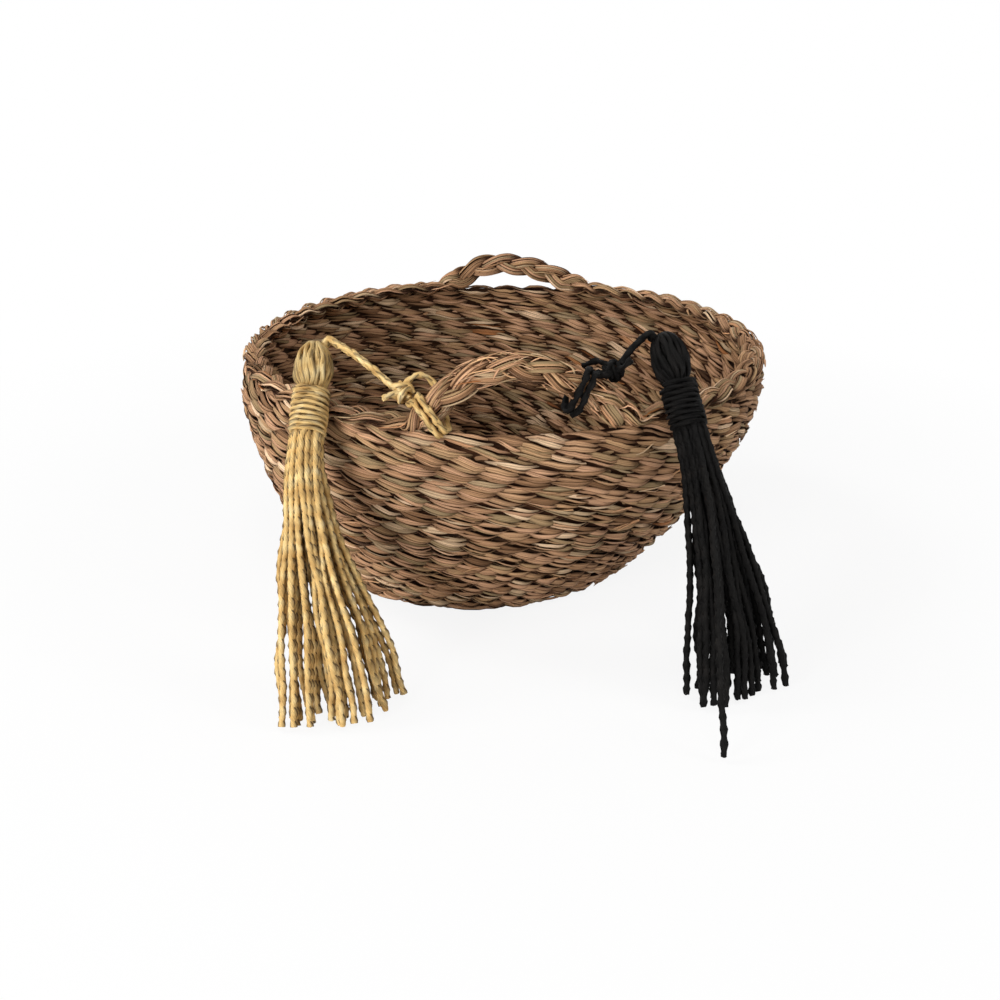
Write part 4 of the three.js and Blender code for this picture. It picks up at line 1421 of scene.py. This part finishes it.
def head_lines(tassel, ring, runs, turn, seed):
    shuffle = random.Random(seed)
    lines = []
    base, tall = WRAP_LENGTH / 2, HEAD_LENGTH + HEAD_RISE - STRAND / 2
    for i in range(runs):
        angle = math.pi * (i + turn) / runs
        bow, swirls = shuffle.uniform(0.9, 1.08), shuffle.uniform(0.0, 0.7)
        sides = []
        for way in (0, math.pi):
            side = []
            for up, wide in HEAD_SHAPE:
                radius = (HEAD_RADIUS - STRAND / 2) * wide * bow * ring
                swirl = angle + way + swirls * max(up, 0) + shuffle.uniform(-0.1, 0.1)
                across, deep = radius * math.cos(swirl), radius * math.sin(swirl)
                side.append(tassel.at(base + tall * up * (0.9 + 0.1 * ring), across, deep))
            sides.append(side)
        top = tassel.at(base + tall * (0.9 + 0.1 * ring) + shuffle.uniform(-0.6, 0.9) * MM)
        lines.append(smooth_line([*sides[0], top, *reversed(sides[1])], 4))
    return lines


print("a head has", HEAD_RUNS + INNER_RUNS, "folded strands")

# %% [markdown]
# Below the wrap the strands fan out, drape over the belly of the bowl and end just above the floor. No
# two hang alike, so every strand gets its own small waves from a fixed seed. Three waves sway it
# sideways, and three push it off the wall.

# %% Skirts
STRANDS = 38
BUNDLE_SPREAD = 1.08
GOLDEN_TURN = math.pi * (3 - 5**0.5)
FOREMOST_PLACE = (-0.1, 1.1)
NECK_SHARE = 0.75


def bundle_places():
    """Places in a round bundle, evenly packed as the seeds of a sunflower are."""
    places = []
    for i in range(STRANDS):
        reach, turn = ((i + 0.5) / STRANDS) ** 0.5 * BUNDLE_SPREAD, i * GOLDEN_TURN + 1.2
        places.append((reach * math.cos(turn), reach * math.sin(turn)))
    return places


def swayed(waves, t):
    return sum(math.sin(math.tau * turns * t + turn) * reach for turns, turn, reach in waves)


def strand_line(tassel, across, deep, foremost, shuffle, steps=56):
    """From the neck down along the axis, over the belly and down to the tip."""
    radius = STRAND_SPACING * 2
    start = tassel.at(-WRAP_LENGTH / 2 - SKIRT_FLARE + MM, across * radius, deep * radius)
    azimuth, out, wide, far = tassel.tips
    longer = (0, 0)
    if foremost:
        across, deep = FOREMOST_PLACE
        longer = tassel.long
    spot = [across * wide[i] + deep * far[i] + longer[i] for i in (0, 1)]
    ragged = outward(azimuth) * (shuffle.uniform(-7, 4) * MM)
    tip = beyond_rim(azimuth, out, TIP_HEIGHT) + Vector((*spot, 0)) * MM + ragged
    leave = start - tassel.axis * STRAND_DROP
    land = tip + UP * STRAND_LANDING - (tip - start).xy.to_3d() * STRAND_TUCK
    waves = [
        (shuffle.uniform(0.7, 3.4), shuffle.uniform(0, math.tau), shuffle.uniform(0.3, 1.0))
        for _ in range(6)
    ]
    line = []
    for step in range(steps + 1):
        t = step / steps
        place = (
            start * (1 - t) ** 3 + leave * (3 * t * (1 - t) ** 2)
            + land * (3 * t * t * (1 - t)) + tip * t**3
        )
        loose = min(1, 3 * t) * MM
        sideways = tassel.side * (swayed(waves[:3], t) * 0.85 * loose)
        off_wall = outward(azimuth) * (abs(swayed(waves[3:], t)) * 0.5 * loose)
        line.append(place + sideways + off_wall)
    neck = [
        tassel.at(distance, across * radius * NECK_SHARE, deep * radius * NECK_SHARE)
        for distance in (0, -WRAP_LENGTH * 0.3)
    ]
    return neck + line


for tassel in tassels:
    shuffle = random.Random(tassel.name)
    places = bundle_places()
    foremost = max(places, key=lambda place: place[1])
    skirt = [strand_line(tassel, *place, place == foremost, shuffle) for place in places]
    name, slot, body = tassel.name + "_tassel_strands", tassel.name + "_cord", tassel.name + "_tassel"
    grown(
        name + "_twisted", line_mesh(name, skirt), CORDS, slot, body, [name], Diameter=3.6 * MM,
        Plies=2, Lay=13 * MM, Step=1.4 * MM, Crumple=0.15, Spread=0.08, Sides=6, Material=tassel.finish,
    )
    loops = head_lines(tassel, 1.0, HEAD_RUNS, 0.0, 5)
    loops += head_lines(tassel, INNER_RING, INNER_RUNS, 0.5, 6)
    grown(
        body + "_head", line_mesh(name + " loops", loops), CORDS, slot, body, Diameter=STRAND,
        Plies=2, Lay=42 * MM, Step=1.2 * MM, Crumple=0.22, Spread=0.16, Sides=8,
        Material=HEAD_FINISH[tassel.name],
    )

# %% [markdown]
# The photograph is cut out on white. So the backdrop looks white to the camera, but lights the basket
# with only a third of that. The floor is for the most part a white glow that lights nothing, and what
# is left of its pale paint shows the faint shadow under the basket.

# %% Floor and backdrop
BACKDROP_LIGHT = 0.34
FLOOR_HALF = 30
FLOOR_PAINT = (0.9, 0.9, 0.9, 1)
NEAR_GLOW = 0.88
NEAR_RADIUS = 0.25
GLOW_RISE = 0.4


def seen_directly(tree):
    """1 for a ray that shows something to the camera, and 0 for one that only lights."""
    path = tree.nodes.new("ShaderNodeLightPath")
    rays = [Wire(path.outputs[name]) for name in ("Is Camera Ray", "Is Glossy Ray", "Is Transmission Ray")]
    return maths("MINIMUM", rays[0] + rays[1] + rays[2], 1.0)


def white_backdrop():
    world = bpy.data.worlds.new("studio")
    world.use_nodes = True
    backdrop = world.node_tree.nodes["Background"]
    backdrop.inputs["Color"].default_value = (1, 1, 1, 1)
    strength = BACKDROP_LIGHT + seen_directly(world.node_tree) * (1 - BACKDROP_LIGHT)
    plug(strength, backdrop.inputs["Strength"])
    return world


def glowing_floor_finish():
    """Pale paint, mixed with a glow that grows to full white away from the basket."""
    material = bpy.data.materials.new("pale floor")
    material.use_nodes = True
    tree = material.node_tree
    painted = tree.nodes["Principled BSDF"]
    painted.inputs["Base Color"].default_value = FLOOR_PAINT
    painted.inputs["Roughness"].default_value = 1
    glow = tree.nodes.new("ShaderNodeEmission")
    blend = tree.nodes.new("ShaderNodeMixShader")
    away = vectors("LENGTH", node(tree, "ShaderNodeTexCoord", out=3))
    rise = maths("MAXIMUM", away - NEAR_RADIUS, 0.0) * GLOW_RISE
    plug(seen_directly(tree) * maths("MINIMUM", NEAR_GLOW + rise, 1.0), blend.inputs[0])
    tree.links.new(painted.outputs[0], blend.inputs[1])
    tree.links.new(glow.outputs[0], blend.inputs[2])
    tree.links.new(blend.outputs[0], tree.nodes["Material Output"].inputs[0])
    return material


bpy.context.scene.world = white_backdrop()
floor_mesh = bpy.data.meshes.new("floor")
corners = [(x * FLOOR_HALF, y * FLOOR_HALF, 0) for x, y in ((-1, -1), (1, -1), (1, 1), (-1, 1))]
floor_mesh.from_pydata(corners, [], [(0, 1, 2, 3)])
floor_mesh.materials.append(glowing_floor_finish())
floor = added("floor", floor_mesh)
print("the backdrop lights with", BACKDROP_LIGHT, "of its white")

# %% [markdown]
# Four round soft lamps make the studio: the key from the left and above, a strong low one from the
# front left that reaches the belly, and two weak ones, from the right and from above, for the inside.

# %% Lamps
LAMP_AIM = Vector((0, 0, 0.08))
LAMPS = {
    "key": {"place": (-1.3, 0.2, 1.6), "width": 0.6, "watts": 12},
    "low": {"place": (-1.15, -1.6, 0.5), "width": 0.8, "watts": 30},
    "right": {"place": (1.5, -0.6, 1.1), "width": 0.7, "watts": 7},
    "top": {"place": (0.1, -0.9, 2.1), "width": 0.6, "watts": 6},
}


def lamp(name, place, width, watts):
    light = bpy.data.lights.new(name, "AREA")
    light.shape, light.size, light.energy = "DISK", width, watts
    holder = added(name, light)
    holder.location = place
    holder.rotation_euler = (LAMP_AIM - Vector(place)).to_track_quat("-Z", "Y").to_euler()


for name, facts in LAMPS.items():
    lamp(name, **facts)
print("lamps:", ", ".join(LAMPS))
